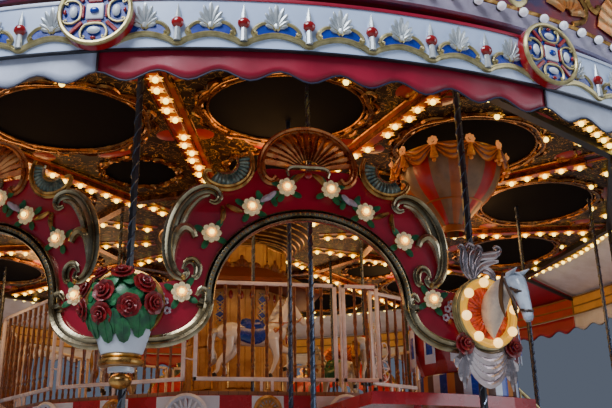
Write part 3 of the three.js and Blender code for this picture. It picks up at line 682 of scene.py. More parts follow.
def upper_scrolls():
    return joined(
        scroll([(0.79, 3.8), (0.745, 3.79), (0.715, 3.83), (0.745, 3.885), (0.83, 3.9), (0.93, 3.85),
            (1.02, 3.74), (1.075, 3.6), (1.095, 3.45), (1.085, 3.32), (1.045, 3.22), (0.985, 3.18),
            (0.945, 3.21), (0.955, 3.25)], 0.014, 0.05, 0.014),
        scroll([(0.79, 3.845), (0.87, 3.81), (0.95, 3.71), (1.0, 3.58), (1.02, 3.46)], 0.014, 0.026, 0.008,
            section=ROUND),
        scroll([(0.89, 3.49), (0.92, 3.55), (0.98, 3.57), (1.035, 3.51), (1.055, 3.4), (1.05, 3.3)], 0.026,
            0.04, 0.006, lift=0.025, section=ROUND),
        scroll([(0.98, 3.24), (0.95, 3.3), (0.9, 3.31), (0.865, 3.26), (0.875, 3.19), (0.91, 3.18)], 0.008,
            0.034, 0.016),
        scroll([(0.87, 3.04), (0.83, 3.09), (0.79, 3.05), (0.795, 2.94), (0.86, 2.82), (0.99, 2.73),
            (1.16, 2.69), (1.36, 2.7)], 0.012, 0.05, 0.045))


def crescents():
    """Fluted half-moons beside the crest: dark flutes between two rims."""
    centre = (0.67, 4.13)
    flutes = shell(centre, 0.11, 0.2, radians(160), radians(305), 13, 0.022, ARCH_FACE)
    angles = [radians(150 + 16 * i) for i in range(11)]
    outer = [(centre[0] + 0.215 * cos(a), centre[1] + 0.215 * sin(a)) for a in angles]
    inner = [(centre[0] + 0.1 * cos(a), centre[1] + 0.1 * sin(a)) for a in angles]
    hook = [(outer[-1][0] + 0.03, outer[-1][1] + 0.05), (outer[-1][0] + 0.01, outer[-1][1] + 0.09),
        (outer[-1][0] - 0.03, outer[-1][1] + 0.085)]
    rim = scroll(outer + hook, 0.016, 0.03, 0.012, steps=2)
    lip = scroll(inner, 0.01, 0.018, 0.01, steps=2, section=COARSE)
    return flutes, rim, lip


def arch_crest():
    rim = [(0.26, 4.03), (0.3, 3.99), (0.36, 4.03), (0.385, 4.12)]
    rim += ellipse(0.385, 0.34, 4.12, radians(18), radians(90), 5)
    return joined(
        scroll(there_and_back(rim), 0.034, 0.034, 0.034, lift=0.015, steps=3),
        shell(SHELL_CENTRE, 0.1, 0.37, radians(8), radians(172), 15, 0.035, ARCH_FACE, 0.92))


def shell_volute():
    points = [(0.16, 4.04), (0.17, 4.1), (0.12, 4.13), (0.0, 4.13)]
    return scroll(there_and_back(points), 0.012, 0.024, 0.012, steps=3, section=ROUND)


def gold_drops():
    return joined(
        scroll([(0.03, 4.07), (0.1, 4.03), (0.14, 3.96)], 0.008, 0.026, 0.006, section=COARSE),
        scroll([(0.53, 3.72), (0.59, 3.74), (0.66, 3.77)], 0.006, 0.022, 0.01, section=COARSE),
        scroll([(0.69, 3.76), (0.68, 3.69), (0.7, 3.61)], 0.012, 0.022, 0.005, section=COARSE),
        scroll([(0.965, 3.15), (0.975, 3.17), (0.985, 3.18)], 0.012, 0.02, 0.01, lift=0.05, section=COARSE))


def buds_and_blossoms():
    """Grey-lilac buds between the upper roses and a spray beside the lowest one."""
    part = bmesh.new()
    for x, z, angle in ((0.31, 3.86, 2.4), (0.35, 3.84, -0.7)):
        join(part, leaf(0.12, 0.05, angle, (x, -ARCH_FACE - 0.03, z), lift=0.016))
    for x, z in ((1.1, 2.99), (1.14, 2.94), (1.08, 2.92), (1.13, 3.03)):
        join(part, flower(0.034, petals=5), shift(x, -ARCH_FACE - 0.02, z))
    return part


def arch_leaves():
    part = bmesh.new()
    around = (0.4, 2.2, 3.7, 5.2)
    for x, z in ARCH_ROSES:
        for angle in around:
            centre = (x + 0.095 * cos(angle), -ARCH_FACE - 0.014, z + 0.095 * sin(angle))
            join(part, leaf(0.1, 0.056, angle, centre, lift=0.008))
    for x, z, angle in ((0.27, 3.88, -0.9), (0.39, 3.8, 2.3), (0.28, 3.82, -1.9), (0.4, 3.86, 1.2)):
        join(part, leaf(0.1, 0.056, angle, (x, -ARCH_FACE - 0.014, z), lift=0.008))
    return part


def rose_places():
    return [shift(hand * x, -ARCH_FACE - 0.025, z) for x, z in ARCH_ROSES for hand in (1, -1)]


def arch_moulding():
    """The ridged moulding round the opening, with small feet that turn out."""
    half = [(0.85, 3.0), (0.815, 2.985), (0.785, 3.0)] + ellipse(0.78, 0.7, SPRINGING, 0.03, pi / 2, 14)
    section = [(-1, -0.3), (-1, 0.4), (-0.8, 0.7), (-0.6, 0.15), (-0.34, 0.95), (0, 1.05), (0.34, 0.95),
        (0.6, 0.15), (0.8, 0.7), (1, 0.4), (1, -0.3)]
    path = smooth_path(upright(there_and_back(half), ARCH_FACE + 0.008), 2)
    return sweep(path, 0.046, section)


def arch_beads():
    """Small raised lozenges along the middle of the moulding."""
    part = bmesh.new()
    for x, z in ellipse(0.78, 0.7, SPRINGING, 0.1, pi - 0.1, 60):
        join(part, ball((x, -ARCH_FACE - 0.052, z), (0.011, 0.006, 0.011), 6, 4))
    return part


class CAROUSEL_OT_arches(bpy.types.Operator):
    """Crimson boards between the posts with gilt scrolls, shells and lit roses"""
    bl_idname = "carousel.arches"
    bl_label = "Arches"

    def execute(self, context):
        bays = [turn(azimuth) for azimuth in arch_azimuths()]
        make_piece("arch_boards", repeated(arch_board(), bays), [crimson_paint()],
            ["arcade_front", "arcade_back"])

        silver = joined(mirrored(upper_scrolls()), arch_moulding(), shell_volute())
        flutes, rim, lip = crescents()
        join(silver, mirrored(lip))
        make_piece("arch_scrolls", repeated(silver, bays), [scroll_silver()])

        make_piece("arch_shells", repeated(arch_crest(), bays), [red_bronze()])

        gilt = joined(mirrored(rim), mirrored(gold_drops()), arch_beads())
        make_piece("arch_gilding", repeated(gilt, bays), [old_gold()])

        make_piece("crescent_flutes", repeated(mirrored(flutes), bays),
            [surface("dark teal flutes", (0.05, 0.09, 0.08), metallic=0.3, second=(0.2, 0.22, 0.16),
            patch=20.0)])

        make_piece("arch_leaves", repeated(mirrored(arch_leaves()), bays), [leaf_green()])

        make_piece("arch_blossoms", repeated(mirrored(buds_and_blossoms()), bays),
            [surface("lilac petals", (0.5, 0.36, 0.42), second=(0.3, 0.28, 0.33), patch=30.0)])

        roses = repeated(flower(sizes().rose_radius, rings=2, tilt=0.3), rose_places())
        make_piece("lit_roses", repeated(roses, bays), [lit_petal()])

        # Painted light: the orange petals round each rose lamp glow with the lamp's light painted on.
        hearts = repeated(flower(0.046, petals=7, tilt=0.6),
            [place @ shift(0, -0.024, 0) for place in rose_places()])
        make_piece("rose_hearts", repeated(hearts, bays),
            [glow("lit orange petals", (1.0, 0.36, 0.06), 0.5, body=(0.9, 0.5, 0.2))])

        lamps = repeated(ball((0, -0.046, 0), 0.021, 10, 6), rose_places())
        red = ball((0, -ARCH_FACE - 0.02, 4.06), (0.035, 0.02, 0.035), 12, 8)
        make_piece("rose_lamps", repeated(lamps, bays), [lamp_glass()])
        make_piece("crest_studs", repeated(red, bays), [red_enamel()])
        return {"FINISHED"}


# Fascia ring with its palmettes, knobs and medallions

PALMETTE_PITCH = 0.449
HUMP_HALF = 0.17
HUMP_FOOT = 4.545
KNOB_FOOT = 4.52
OUTWARD = Matrix.Rotation(pi / 2, 4, "X")
MEDALLION_HEIGHT = 4.73
MEDALLION_FACE = RING_RADIUS + 0.09


def wrap(part, radius):
    """Bends what is drawn flat at the front at this distance round the axis."""
    for vert in part.verts:
        vert.co = at(-vert.co.y, vert.co.x / radius, vert.co.z)
    return part


def side_by_side(centres):
    """Places along a bay that is drawn flat."""
    return [shift(across, 0, 0) for across in centres]


def palmette_centres():
    count = sizes().palmettes
    return [(i - (count - 1) / 2) * PALMETTE_PITCH for i in range(count)]


def knob_centres():
    count = sizes().palmettes
    return [(i - count / 2 + 1) * PALMETTE_PITCH for i in range(count - 1)]


def palmette_leaves():
    part = bmesh.new()
    right_half = ((72, 0.165, 0.042), (54, 0.135, 0.04), (34, 0.105, 0.036), (12, 0.08, 0.03))
    left_half = [(180 - angle, length, width) for angle, length, width in right_half]
    for angle, length, width in ((90, 0.18, 0.05), *right_half, *left_half):
        turned_to = radians(angle)
        reach = 0.52 * length
        centre = (reach * cos(turned_to), -RING_RADIUS - 0.01, 4.645 + reach * sin(turned_to))
        join(part, leaf(length, width, turned_to, centre, lift=0.014))
        join(part, leaf(0.7 * length, 0.007, turned_to, (centre[0], centre[1] - 0.011, centre[2]), 0.005, 4,
            3))
    join(part, ball((0, -RING_RADIUS - 0.016, 4.655), (0.02, 0.014, 0.026), 6, 4))
    return part


def hump_line():
    return [(0, 4.63), (0.03, 4.66), (0.075, 4.683), (0.12, 4.668), (0.155, 4.63), (0.163, 4.6),
        (0.15, 4.583), (0.137, 4.597)]


def base_line(share):
    across = -HUMP_HALF + 2 * HUMP_HALF * share
    return across, HUMP_FOOT + 0.045 * cos(pi * across / (2 * HUMP_HALF))


def blue_field():
    upper = [(p.x, p.z) for p in smooth_path(upright(hump_line()[:5], 0), 2)]
    lower = [base_line(0.97 - 0.47 * i / 4) for i in range(5)]
    return slab(upper + lower, RING_RADIUS, RING_RADIUS + 0.006)


def fascia_moulding():
    """The rippled moulding along the foot of the ornaments of one bay."""
    points = []
    for centre in palmette_centres():
        points += [(centre - 0.205, KNOB_FOOT)]
        for i in range(7):
            across, height = base_line(i / 6)
            points.append((centre + across, height))
        points += [(centre + 0.205, KNOB_FOOT)]
    section = [(-1, -0.5), (-0.8, 0.6), (-0.2, 0.45), (0.1, 0.95), (0.8, 0.7), (1, -0.5)]
    return sweep(smooth_path(upright(points, RING_RADIUS + 0.006), 2), 0.021, section)


def fascia_knob_metal():
    part = bmesh.new()
    distance = -RING_RADIUS - 0.02
    for foot, head, radius, end in ((4.525, 4.64, 0.026, 0.019), (4.69, 4.73, 0.024, 0.021),
            (4.73, 4.82, 0.021, 0.002)):
        join(part, rod((0, distance, foot), (0, distance, head), radius, 8, end))
    return part


class CAROUSEL_OT_fascia(bpy.types.Operator):
    """White fascia ring with palmettes, mouldings, blue fields and red knobs"""
    bl_idname = "carousel.fascia"
    bl_label = "Fascia"

    def execute(self, context):
        bays = bay_places()
        board = turned([(6.35, RING_FOOT), (6.376, RING_FOOT), (RING_RADIUS, 4.491), (RING_RADIUS, RING_HEAD),
            (6.35, RING_HEAD), (6.35, RING_FOOT)], RING_SIDES)
        make_piece("fascia_board", board, [fascia_paint()], ["fascia_ring"])
        edge = turned([(6.352, 4.477), (6.383, 4.477), (6.384, RING_FOOT), (6.352, RING_FOOT),
            (6.352, 4.477)], RING_SIDES)
        make_piece("fascia_edge", edge, [dark_steel()])

        leaves = repeated(palmette_leaves(), side_by_side(palmette_centres()))
        copies(leaves, fascia_knob_metal(), side_by_side(knob_centres()))
        make_piece("fascia_palmettes", repeated(wrap(leaves, RING_RADIUS), bays), [pale_silver()])

        hump = joined(
            sweep(smooth_path(upright(hump_line(), RING_RADIUS + 0.01), 2), 0.014,
                fluted_section(2, 0.9, 0.6)),
            ball((0.143, -RING_RADIUS - 0.02, 4.597), 0.014, 6, 4))
        gilt = joined(repeated(mirrored(hump), side_by_side(palmette_centres())), fascia_moulding())
        make_piece("fascia_mouldings", repeated(wrap(gilt, RING_RADIUS), bays), [pale_gold()])

        fields = repeated(mirrored(blue_field()), side_by_side(palmette_centres()))
        make_piece("fascia_blue_fields", repeated(wrap(fields, RING_RADIUS), bays), [blue_enamel()])

        knobs = repeated(ball((0, -RING_RADIUS - 0.024, 4.668), (0.045, 0.036, 0.042), 10, 7),
            side_by_side(knob_centres()))
        make_piece("fascia_knobs", repeated(wrap(knobs, RING_RADIUS), bays), [red_enamel()])
        return {"FINISHED"}


class CAROUSEL_OT_ring_lining(bpy.types.Operator):
    """Red and ochre panels inside the fascia ring"""
    bl_idname = "carousel.ring_lining"
    bl_label = "Ring lining"

    def execute(self, context):
        for name, first, tone in (("red", 0, (0.4, 0.02, 0.012)), ("ochre", 1, (0.62, 0.36, 0.12))):
            panels = bmesh.new()
            for bay in range(first, BAYS, 2):
                panel = turned([(LINING_RADIUS, LINING_FOOT), (LINING_RADIUS, LINING_HEAD)], 20, BAY)
                join(panels, panel, turn((bay - 0.5) * BAY - pi / 2))
            make_piece(f"lining_{name}", panels,
                [surface(f"lining {name} paint", tone, roughness=0.4, patch=3.0)])
        rails = bmesh.new()
        for height in (LINING_FOOT, 4.7, LINING_HEAD):
            join(rails, turned([(LINING_RADIUS, height - 0.012), (LINING_RADIUS - 0.014, height - 0.01),
                (LINING_RADIUS - 0.014, height + 0.01), (LINING_RADIUS, height + 0.012)], 120))
        uprights = [turn((bay + share) * BAY) for bay in range(BAYS) for share in (0.0, 0.5)]
        copies(rails, block((-0.012, -LINING_RADIUS, 4.55), (0.012, 0.016 - LINING_RADIUS, 4.86)), uprights)
        make_piece("lining_rails", rails,
            [surface("dark ochre rails", (0.2, 0.11, 0.03), roughness=0.4, patch=8.0)])
        return {"FINISHED"}


class CAROUSEL_OT_post_strands(bpy.types.Operator):
    """Strands that wind up the twelve posts"""
    bl_idname = "carousel.post_strands"
    bl_label = "Post strands"

    def execute(self, context):
        post = strands(PLATFORM_TOP + 0.01, 5.08, 0.0345, sizes().strand_rise)
        make_piece("post_strands",
            repeated(post, [turn(azimuth) @ shift(0, -POST_CIRCLE, 0) for azimuth in joint_azimuths()]),
            [steel_blue()])
        return {"FINISHED"}


class CAROUSEL_OT_skirt(bpy.types.Operator):
    """Raised panels with gilt studs round the platform's edge"""
    bl_idname = "carousel.skirt"
    bl_label = "Platform skirt"

    def execute(self, context):
        low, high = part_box("platform_skirt")
        middle = (low.z + high.z) / 2
        radius = high.x
        count = sizes().skirt_panels
        spots = [turn((i + 0.5) * BAY / count) for i in range(BAYS * count)]
        panel = rounded(block((-0.3, -radius - 0.008, low.z + 0.08), (0.3, -radius + 0.02, high.z - 0.06)),
            0.006, 1)
        stud = ball((0, -radius - 0.008, middle), (0.05, 0.012, 0.05), 8, 4)
        make_piece("skirt_panels", repeated(panel, spots), [white_gloss()])
        make_piece("skirt_studs", repeated(stud, spots), [old_gold()])
        return {"FINISHED"}


def upward(point):
    return Vector((0, 0, 1))


def medallion():
    """A round boss in the plane of X and Y, facing up Z: red, gilt, blue and white parts."""
    parts = [bmesh.new() for _ in range(4)]
    red, gilt, blue, white = parts
    join(red, turned([(0.246, -0.09), (0.26, -0.08), (0.26, -0.006), (0.25, 0.0), (0.25, -0.02), (0, -0.02)],
        36))
    join(gilt, turned([(0.262, -0.012), (0.262, 0.002), (0.25, 0.014), (0.236, 0.012), (0.228, 0.0),
        (0.228, -0.012)], 36))
    join(blue, turned([(0.23, -0.012), (0, -0.011)], 36))
    join(blue, ball((0, 0, 0.012), (0.032, 0.025, 0.014), 16, 8))
    for i in range(4):
        place = turn(pi / 2 * i)
        join(white, ball((0, 0.148, 0), (0.047, 0.029, 0.018), 12, 6), place)
        collar = [(0.085, 0.2), (0.09, 0.155), (0.06, 0.105), (0.0, 0.094)]
        path = smooth_path([(x, y, 0) for x, y in there_and_back(collar)], 2)
        join(gilt, sweep(path, 0.009, COARSE, outward=upward), place)
        for hand in (-1, 1):
            curl = [(hand * 0.085, 0.2), (hand * 0.068, 0.212), (hand * 0.06, 0.196), (hand * 0.07, 0.19)]
            path = smooth_path([(x, y, 0) for x, y in curl], 2)
            join(gilt, sweep(path, 0.006, COARSE, outward=upward), place)
        join(red, ball((0, 0.207, 0), (0.02, 0.012, 0.012), 10, 6), place)
        join(red, rounded(block((-0.05, 0.072, -0.012), (0.05, 0.09, 0.006)), 0.004, 1), place)
        spoke = rounded(block((-0.013, 0.118, -0.012), (0.013, 0.226, 0.006)), 0.004, 1)
        join(red, spoke, place @ turn(pi / 4))
    hub = block((-0.062, -0.062, -0.012), (0.062, 0.062, 0.006))
    join(white, rounded(hub, 0.026, 3))
    return parts


class CAROUSEL_OT_medallions(bpy.types.Operator):
    """Round painted bosses over the joints of the fascia"""
    bl_idname = "carousel.medallions"
    bl_label = "Medallions"

    def execute(self, context):
        names = ("medallion_drums", "medallion_gilding", "medallion_grounds", "medallion_cabochons")
        finishes = (red_enamel(), pale_gold(), blue_enamel(), white_gloss())
        place = shift(0, -MEDALLION_FACE, MEDALLION_HEIGHT) @ OUTWARD
        for name, part, paint in zip(names, medallion(), finishes):
            make_piece(name, repeated(part, [turn(azimuth) @ place for azimuth in joint_azimuths()]), [paint])
        return {"FINISHED"}


# Cloth of the valance, the awning and the roof

VALANCE_RADIUS = 6.343
VALANCE_HEAD = 4.535
AWNING_HEAD = 5.168
AWNING_INNER = 5.403


def scallop(azimuth):
    """Height of the valance's lower edge; the bays meet at a high point."""
    return 4.297 + 0.038 * cos(sizes().scallops * tau * (azimuth / BAY + 0.5))


def cloth_bay(bay, point, across, along):
    """One bay's width of cloth; point(azimuth, share) says where it hangs, share runs 0 to 1 down it."""
    part = bmesh.new()
    bmesh.ops.create_grid(part, x_segments=across, y_segments=along, size=0.5)
    middle = bay * BAY
    for vert in part.verts:
        vert.co = point(middle + vert.co.x * BAY, vert.co.y + 0.5)
    return part


def valance_point(azimuth, share):
    height = VALANCE_HEAD + (scallop(azimuth) - VALANCE_HEAD) * share
    ripple = 0.004 * share * sin(azimuth * 96) + 0.006 * share * noise.noise((azimuth * 14, height * 3, 2))
    return at(VALANCE_RADIUS - 0.004 + ripple, azimuth, height)


def along_line(line, share):
    """The point that lies at a share of a line's length, counted in its points."""
    spot = share * (len(line) - 1)
    i = min(int(spot), len(line) - 2)
    return [a + (b - a) * (spot - i) for a, b in zip(line[i], line[i + 1])]


def awning_profile(share):
    """The cloth from the ceiling's rim down to the ring, over its top and down its face."""
    line = [(AWNING_INNER, AWNING_HEAD), (5.73, 5.062), (6.06, 4.968), (6.352, 4.885), (6.37, 4.891),
        (6.386, 4.886), (6.387, 4.872), (6.386, 4.858)]
    return along_line(line, share)


def awning_point(azimuth, share):
    radius, height = awning_profile(share)
    between = sin(pi * ((azimuth / BAY - 0.5) % 1))
    sag = 0.02 * between * sin(pi * min(1, share / 0.43)) if share < 0.43 else 0
    return at(radius, azimuth, height - sag + 0.002 * noise.noise((azimuth * 20, radius * 4, 5)))


def roof_point(azimuth, share):
    """From the frieze's foot up its wall and over the eaves to the neck."""
    line = [(5.385, 5.20), (5.395, 5.36), (5.4, 5.5), (3.7, 6.075), (1.9, 6.71), (0.165, 7.36)]
    radius, height = along_line(line, share)
    off = (azimuth + HALF_BAY) % BAY - HALF_BAY
    flat = cos(HALF_BAY) / cos(off)
    return at(radius * flat, azimuth, height - 0.015 * cos(off * 6) * (share > 0.45) * (share < 1))


def cloth_set(name, point, across, along, replaces, thicker=1):
    """The red and the white bays of one kind of cloth, each a piece of six cuts."""
    for colour, first in (("red", 0), ("white", 1)):
        part = bmesh.new()
        for bay in range(first, BAYS, 2):
            join(part, cloth_bay(bay, point, across, along))
        bmesh.ops.remove_doubles(part, verts=part.verts, dist=1e-5)
        bmesh.ops.recalc_face_normals(part, faces=part.faces)
        area = sum(face.calc_area() for face in part.faces)
        piece = make_piece(f"{name}_{colour}", part, [coated_cloth(colour)], [replaces])
        wall = piece.modifiers.new("wall", "SOLIDIFY")
        wall.thickness = thicker * sizes().canvas_thickness
        wall.offset = 0


def coated_cloth(colour):
    tones = {"red": paints().canvas_red, "white": paints().canvas_white}
    return surface(f"coated {colour} canvas", tones[colour], roughness=0.36, patch=2.4, grain=420.0,
        bump=0.25, coat=0.12, wear=0.1)


class CAROUSEL_OT_valance(bpy.types.Operator):
    """Scalloped cloth under the ring, red and white bay by bay"""
    bl_idname = "carousel.valance"
    bl_label = "Valance"

    def execute(self, context):
        cloth_set("valance", valance_point, 72, 4, "valance")
        path = []
        steps = BAYS * sizes().scallops * 8
        for i in range(steps):
            azimuth = tau * i / steps
            path.append(at(VALANCE_RADIUS, azimuth, scallop(azimuth)))
        piping = sweep(path, 0.0065, COARSE, outward=lambda point: Vector((point.x, point.y, 0)).normalized(),
            closed=True)
        make_piece("valance_piping", piping,
            [surface("navy piping", (0.008, 0.012, 0.05), roughness=0.5, grain=500.0)])
        seams = bmesh.new()
        for azimuth in joint_azimuths():
            join(seams, block((-0.006, -VALANCE_RADIUS - 0.007, 4.33), (0.006, -VALANCE_RADIUS + 0.004, 4.5)),
                turn(azimuth))
        make_piece("valance_seams", seams,
            [surface("dark seam tape", (0.03, 0.01, 0.02), roughness=0.6, grain=500.0)])
        return {"FINISHED"}


class CAROUSEL_OT_awning(bpy.types.Operator):
    """Cloth from the ceiling's rim down over the ring"""
    bl_idname = "carousel.awning"
    bl_label = "Awning"

    def execute(self, context):
        cloth_set("awning", awning_point, 24, 21, "awning")
        return {"FINISHED"}


class CAROUSEL_OT_roof(bpy.types.Operator):
    """Striped canvas roof with its wall"""
    bl_idname = "carousel.roof"
    bl_label = "Roof"

    def execute(self, context):
        cloth_set("roof", roof_point, 12, 30, "roof", thicker=2)
        return {"FINISHED"}


# Vases of roses and horse shields on the posts

ORNAMENT_BACK = ARCH_FACE / cos(HALF_BAY) + 0.0003
DOME_CENTRE = Vector((0, -ORNAMENT_BACK, 2.95))
DOME_SIZE = Vector((0.29, 0.27, 0.265))
VASE_ROSES = [(-0.074, 3.0), (-0.235, 3.04), (-0.136, 3.15), (0.025, 3.145), (0.18, 3.06), (0.1, 2.9),
    (-0.086, 2.85), (-0.24, 2.9), (0.24, 2.93)]
HANGING_LEAVES = [(-0.17, 2.77, -1.8), (-0.06, 2.73, -1.65), (0.06, 2.73, -1.45), (0.16, 2.77, -1.3),
    (0.22, 2.83, -1.0), (-0.22, 2.83, -2.1), (0.12, 2.82, -1.2), (0.0, 2.79, -1.6), (-0.12, 2.82, -1.95)]


def facing(point, outward):
    """The place of a front-facing part on a curved surface, its back to the surface."""
    back = -Vector(outward).normalized()
    side = back.cross(Vector((0, 0, 1))).normalized()
    return Matrix.Translation(point) @ Matrix((side, back, side.cross(back))).transposed().to_4x4()


def front_half(part):
    """Cuts off what lies behind the plane on which the posts' ornaments sit."""
    everything = part.verts[:] + part.edges[:] + part.faces[:]
    bmesh.ops.bisect_plane(part, geom=everything, plane_co=(0, -ORNAMENT_BACK, 0), plane_no=(0, 1, 0),
        clear_outer=True)
    return part


def dome_place(across, height, swell=1.0):
    """The place of a flower on the green dome of a vase."""
    share = Vector((across / DOME_SIZE.x, 0, (height - DOME_CENTRE.z) / DOME_SIZE.z))
    depth = sqrt(max(0.06, 1 - share.length_squared))
    point = DOME_CENTRE + swell * Vector((across, -DOME_SIZE.y * depth, height - DOME_CENTRE.z))
    outward = Vector((share.x / DOME_SIZE.x, -depth / DOME_SIZE.y, share.z / DOME_SIZE.z))
    return facing(point, outward)


def behind_post(part):
    """Moves a part turned about the upright axis to the post's front."""
    bmesh.ops.translate(part, vec=(0, -ORNAMENT_BACK, 0), verts=part.verts)
    return part


def vase_porcelain():
    part = joined(
        turned([(0.08, 2.46), (0.096, 2.468), (0.096, 2.5), (0.082, 2.506)], 28),
        turned([(0.13, 2.585), (0.15, 2.592), (0.164, 2.63), (0.187, 2.70), (0.206, 2.77), (0.215, 2.83),
            (0.18, 2.85)], 36))
    return front_half(behind_post(part))


def vase_gilding():
    part = joined(
        ball((0, 0, 2.407), (0.083, 0.083, 0.057), 24, 12),
        turned([(0.09, 2.504), (0.148, 2.507), (0.163, 2.52), (0.165, 2.536), (0.155, 2.553), (0.132, 2.56),
            (0.145, 2.574), (0.14, 2.588), (0.12, 2.592)], 32))
    part = front_half(behind_post(part))
    rim = ellipse(0.3, 0.272, 2.955, 0, tau, 32)[:-1]
    join(part, rounded(slab(rim, ORNAMENT_BACK, ORNAMENT_BACK + 0.03), 0.01, 2))
    return part


def vase_rose():
    """A full rose: three rings of cupped petals round a closed bud."""
    part = bmesh.new()
    rings = ((0.052, 0.044, 0.25, 7), (0.034, 0.034, 0.6, 6), (0.018, 0.024, 0.95, 5))
    for layer, (reach, size, tilt, petals) in enumerate(rings):
        for i in range(petals):
            join(part, petal(tau * (i + 0.5 * layer) / petals, reach, tilt, (size, 0.008, size),
                0.014 + 0.016 * layer))
    join(part, ball((0, -0.058, 0), (0.014, 0.014, 0.014), 8, 6))
    return part


def vase_leaves():
    part = bmesh.new()
    for across, height, angle in HANGING_LEAVES:
        reach = max(0.208 + 0.4 * (height - 2.74), abs(across) + 0.03)
        depth = sqrt(reach ** 2 - across ** 2)
        place = facing((across, -ORNAMENT_BACK - depth - 0.015, height), (across, -depth, -0.2))
        join(part, leaf(0.19, 0.12, angle, (0, 0, 0), lift=0.013), place)
        join(part, leaf(0.18, 0.012, angle, (0, -0.012, 0), lift=0.006), place)
    for across, height in VASE_ROSES:
        for angle in (0.9, 2.6, 4.0, 5.4):
            near = (across + 0.085 * cos(angle), height + 0.085 * sin(angle))
            if Vector((near[0] / DOME_SIZE.x, (near[1] - DOME_CENTRE.z) / DOME_SIZE.z)).length < 0.98:
                join(part, leaf(0.11, 0.07, angle, (0, 0, 0), lift=0.009), dome_place(*near, 1.01))
    return front_half(part)


class CAROUSEL_OT_vases(bpy.types.Operator):
    """Porcelain vases of dark red roses on the middle posts"""
    bl_idname = "carousel.vases"
    bl_label = "Rose vases"

    def execute(self, context):
        spots = [turn(azimuth) for azimuth in arcade_azimuths()]
        dome = joined(front_half(ball(DOME_CENTRE, DOME_SIZE * 0.94, 28, 18)), vase_leaves())
        roses = repeated(vase_rose(), [dome_place(*spot) for spot in VASE_ROSES])
        vases = ["rose_vase_front", "rose_vase_back"]
        for name, part, paint, replaced in (
                ("vase_porcelain", vase_porcelain(), white_gloss(), vases),
                ("vase_gilding", vase_gilding(), old_gold(), ()),
                ("vase_greenery", dome, leaf_green(), ()),
                ("vase_roses", front_half(roses), dark_rose(), ())):
            make_piece(name, repeated(part, spots), [paint], replaced)
        return {"FINISHED"}


SHIELD_HEIGHT = 2.95
SWAG_HEAD = 2.7
SHIELD_PLACE = shift(0, -ORNAMENT_BACK, SHIELD_HEIGHT) @ OUTWARD
NECK_LINE = [(0.13, 2.745), (0.125, 2.84), (0.145, 2.94), (0.2, 3.03), (0.28, 3.09), (0.36, 3.12)]
HEAD_LINE = [(0.36, 3.12), (0.44, 3.12), (0.49, 3.02), (0.53, 2.88), (0.545, 2.8)]
PLUME = [
    [(-0.09, 3.22), (-0.15, 3.29), (-0.165, 3.38), (-0.15, 3.46), (-0.17, 3.5), (-0.2, 3.48)],
    [(-0.07, 3.24), (-0.1, 3.34), (-0.09, 3.43), (-0.05, 3.49), (-0.09, 3.52), (-0.12, 3.49)],
    [(-0.08, 3.23), (-0.06, 3.34), (0.0, 3.42), (0.1, 3.45), (0.18, 3.47), (0.22, 3.5), (0.2, 3.53),
        (0.16, 3.515)],
    [(-0.06, 3.24), (-0.03, 3.32), (0.04, 3.37), (0.12, 3.395), (0.2, 3.41)],
    [(-0.05, 3.3), (-0.03, 3.4), (0.02, 3.47), (0.0, 3.51), (-0.03, 3.48)],
    [(-0.05, 3.25), (0.02, 3.32), (0.09, 3.32), (0.13, 3.27), (0.12, 3.21), (0.09, 3.215)]]


def post_line(points, across=0):
    """Points drawn as (out from the post, height) on the radius through the post or beside it."""
    return [Vector((across, -ORNAMENT_BACK - out, height)) for out, height in points]


def sideways(point):
    return Vector((1, 0, 0))


def shield_gilding():
    """The drum behind the shield, ridged along its side, with a boss in the middle of its face."""
    part = joined(
        turned([(0.26, 0.0), (0.285, 0.008), (0.288, 0.02), (0.276, 0.026), (0.288, 0.034), (0.289, 0.046),
            (0.277, 0.052), (0.289, 0.06), (0.289, 0.072), (0.278, 0.078), (0.286, 0.086), (0.282, 0.098),
            (0.27, 0.102), (0.21, 0.1), (0.21, 0.05), (0.0, 0.05)], 48),
        turned([(0.07, 0.06), (0.064, 0.08), (0.04, 0.09), (0.0, 0.092)], 20))
    bmesh.ops.transform(part, matrix=SHIELD_PLACE, verts=part.verts)
    return part


def shield_horse():
    """The arched neck, in the first paint, and the head with its ears, in the second."""
    neck = smooth_path(post_line(NECK_LINE), 3)
    neck_sizes = [0.008, 0.03, 0.052, 0.072, 0.088, 0.1, 0.108, 0.114, 0.116, 0.114, 0.108, 0.1, 0.094, 0.088,
        0.082, 0.076]
    part = sweep(neck, neck_sizes, round_section(14, 0.75), sideways)
    head_sizes = [0.06, 0.074, 0.08, 0.08, 0.078, 0.073, 0.066, 0.059, 0.052, 0.047, 0.045, 0.043, 0.03]
    head = sweep(smooth_path(post_line(HEAD_LINE), 3), head_sizes, round_section(12, 0.8), sideways)
    for hand in (-1, 1):
        join(head, rod((hand * 0.04, -ORNAMENT_BACK - 0.42, 3.17), (hand * 0.06, -ORNAMENT_BACK - 0.54, 3.2),
            0.03, 8, 0.004))
    join(part, head, material=1)
    return part


def shield_tack():
    """Bridle, blinkers, eyes and the locks of the mane."""
    part = bmesh.new()
    for (out, height), size, tilt in (((0.53, 2.88), 0.054, 0.25), ((0.475, 3.05), 0.078, 0.5)):
        join(part, turned([(size, -0.01), (size + 0.005, 0.0), (size, 0.01)], 20),
            shift(0, -ORNAMENT_BACK - out, height) @ Matrix.Rotation(tilt, 4, "X")
            @ Matrix.Diagonal((0.84, 1, 1, 1)))
    for hand in (-1, 1):
        cheek = post_line([(0.39, 3.15), (0.44, 3.02), (0.5, 2.89)], hand * 0.064)
        join(part, sweep(cheek, 0.011, COARSE, sideways))
        join(part, ball((hand * 0.052, -ORNAMENT_BACK - 0.5, 3.03), (0.018, 0.024, 0.016), 8, 6))
        mane = post_line([(0.38, 3.2), (0.345, 3.1), (0.33, 2.98), (0.36, 2.86)], hand * 0.06)
        join(part, sweep(smooth_path(mane, 3), taper(10, 0.01, 0.024, 0.006), fluted_section(2), sideways))
    return part


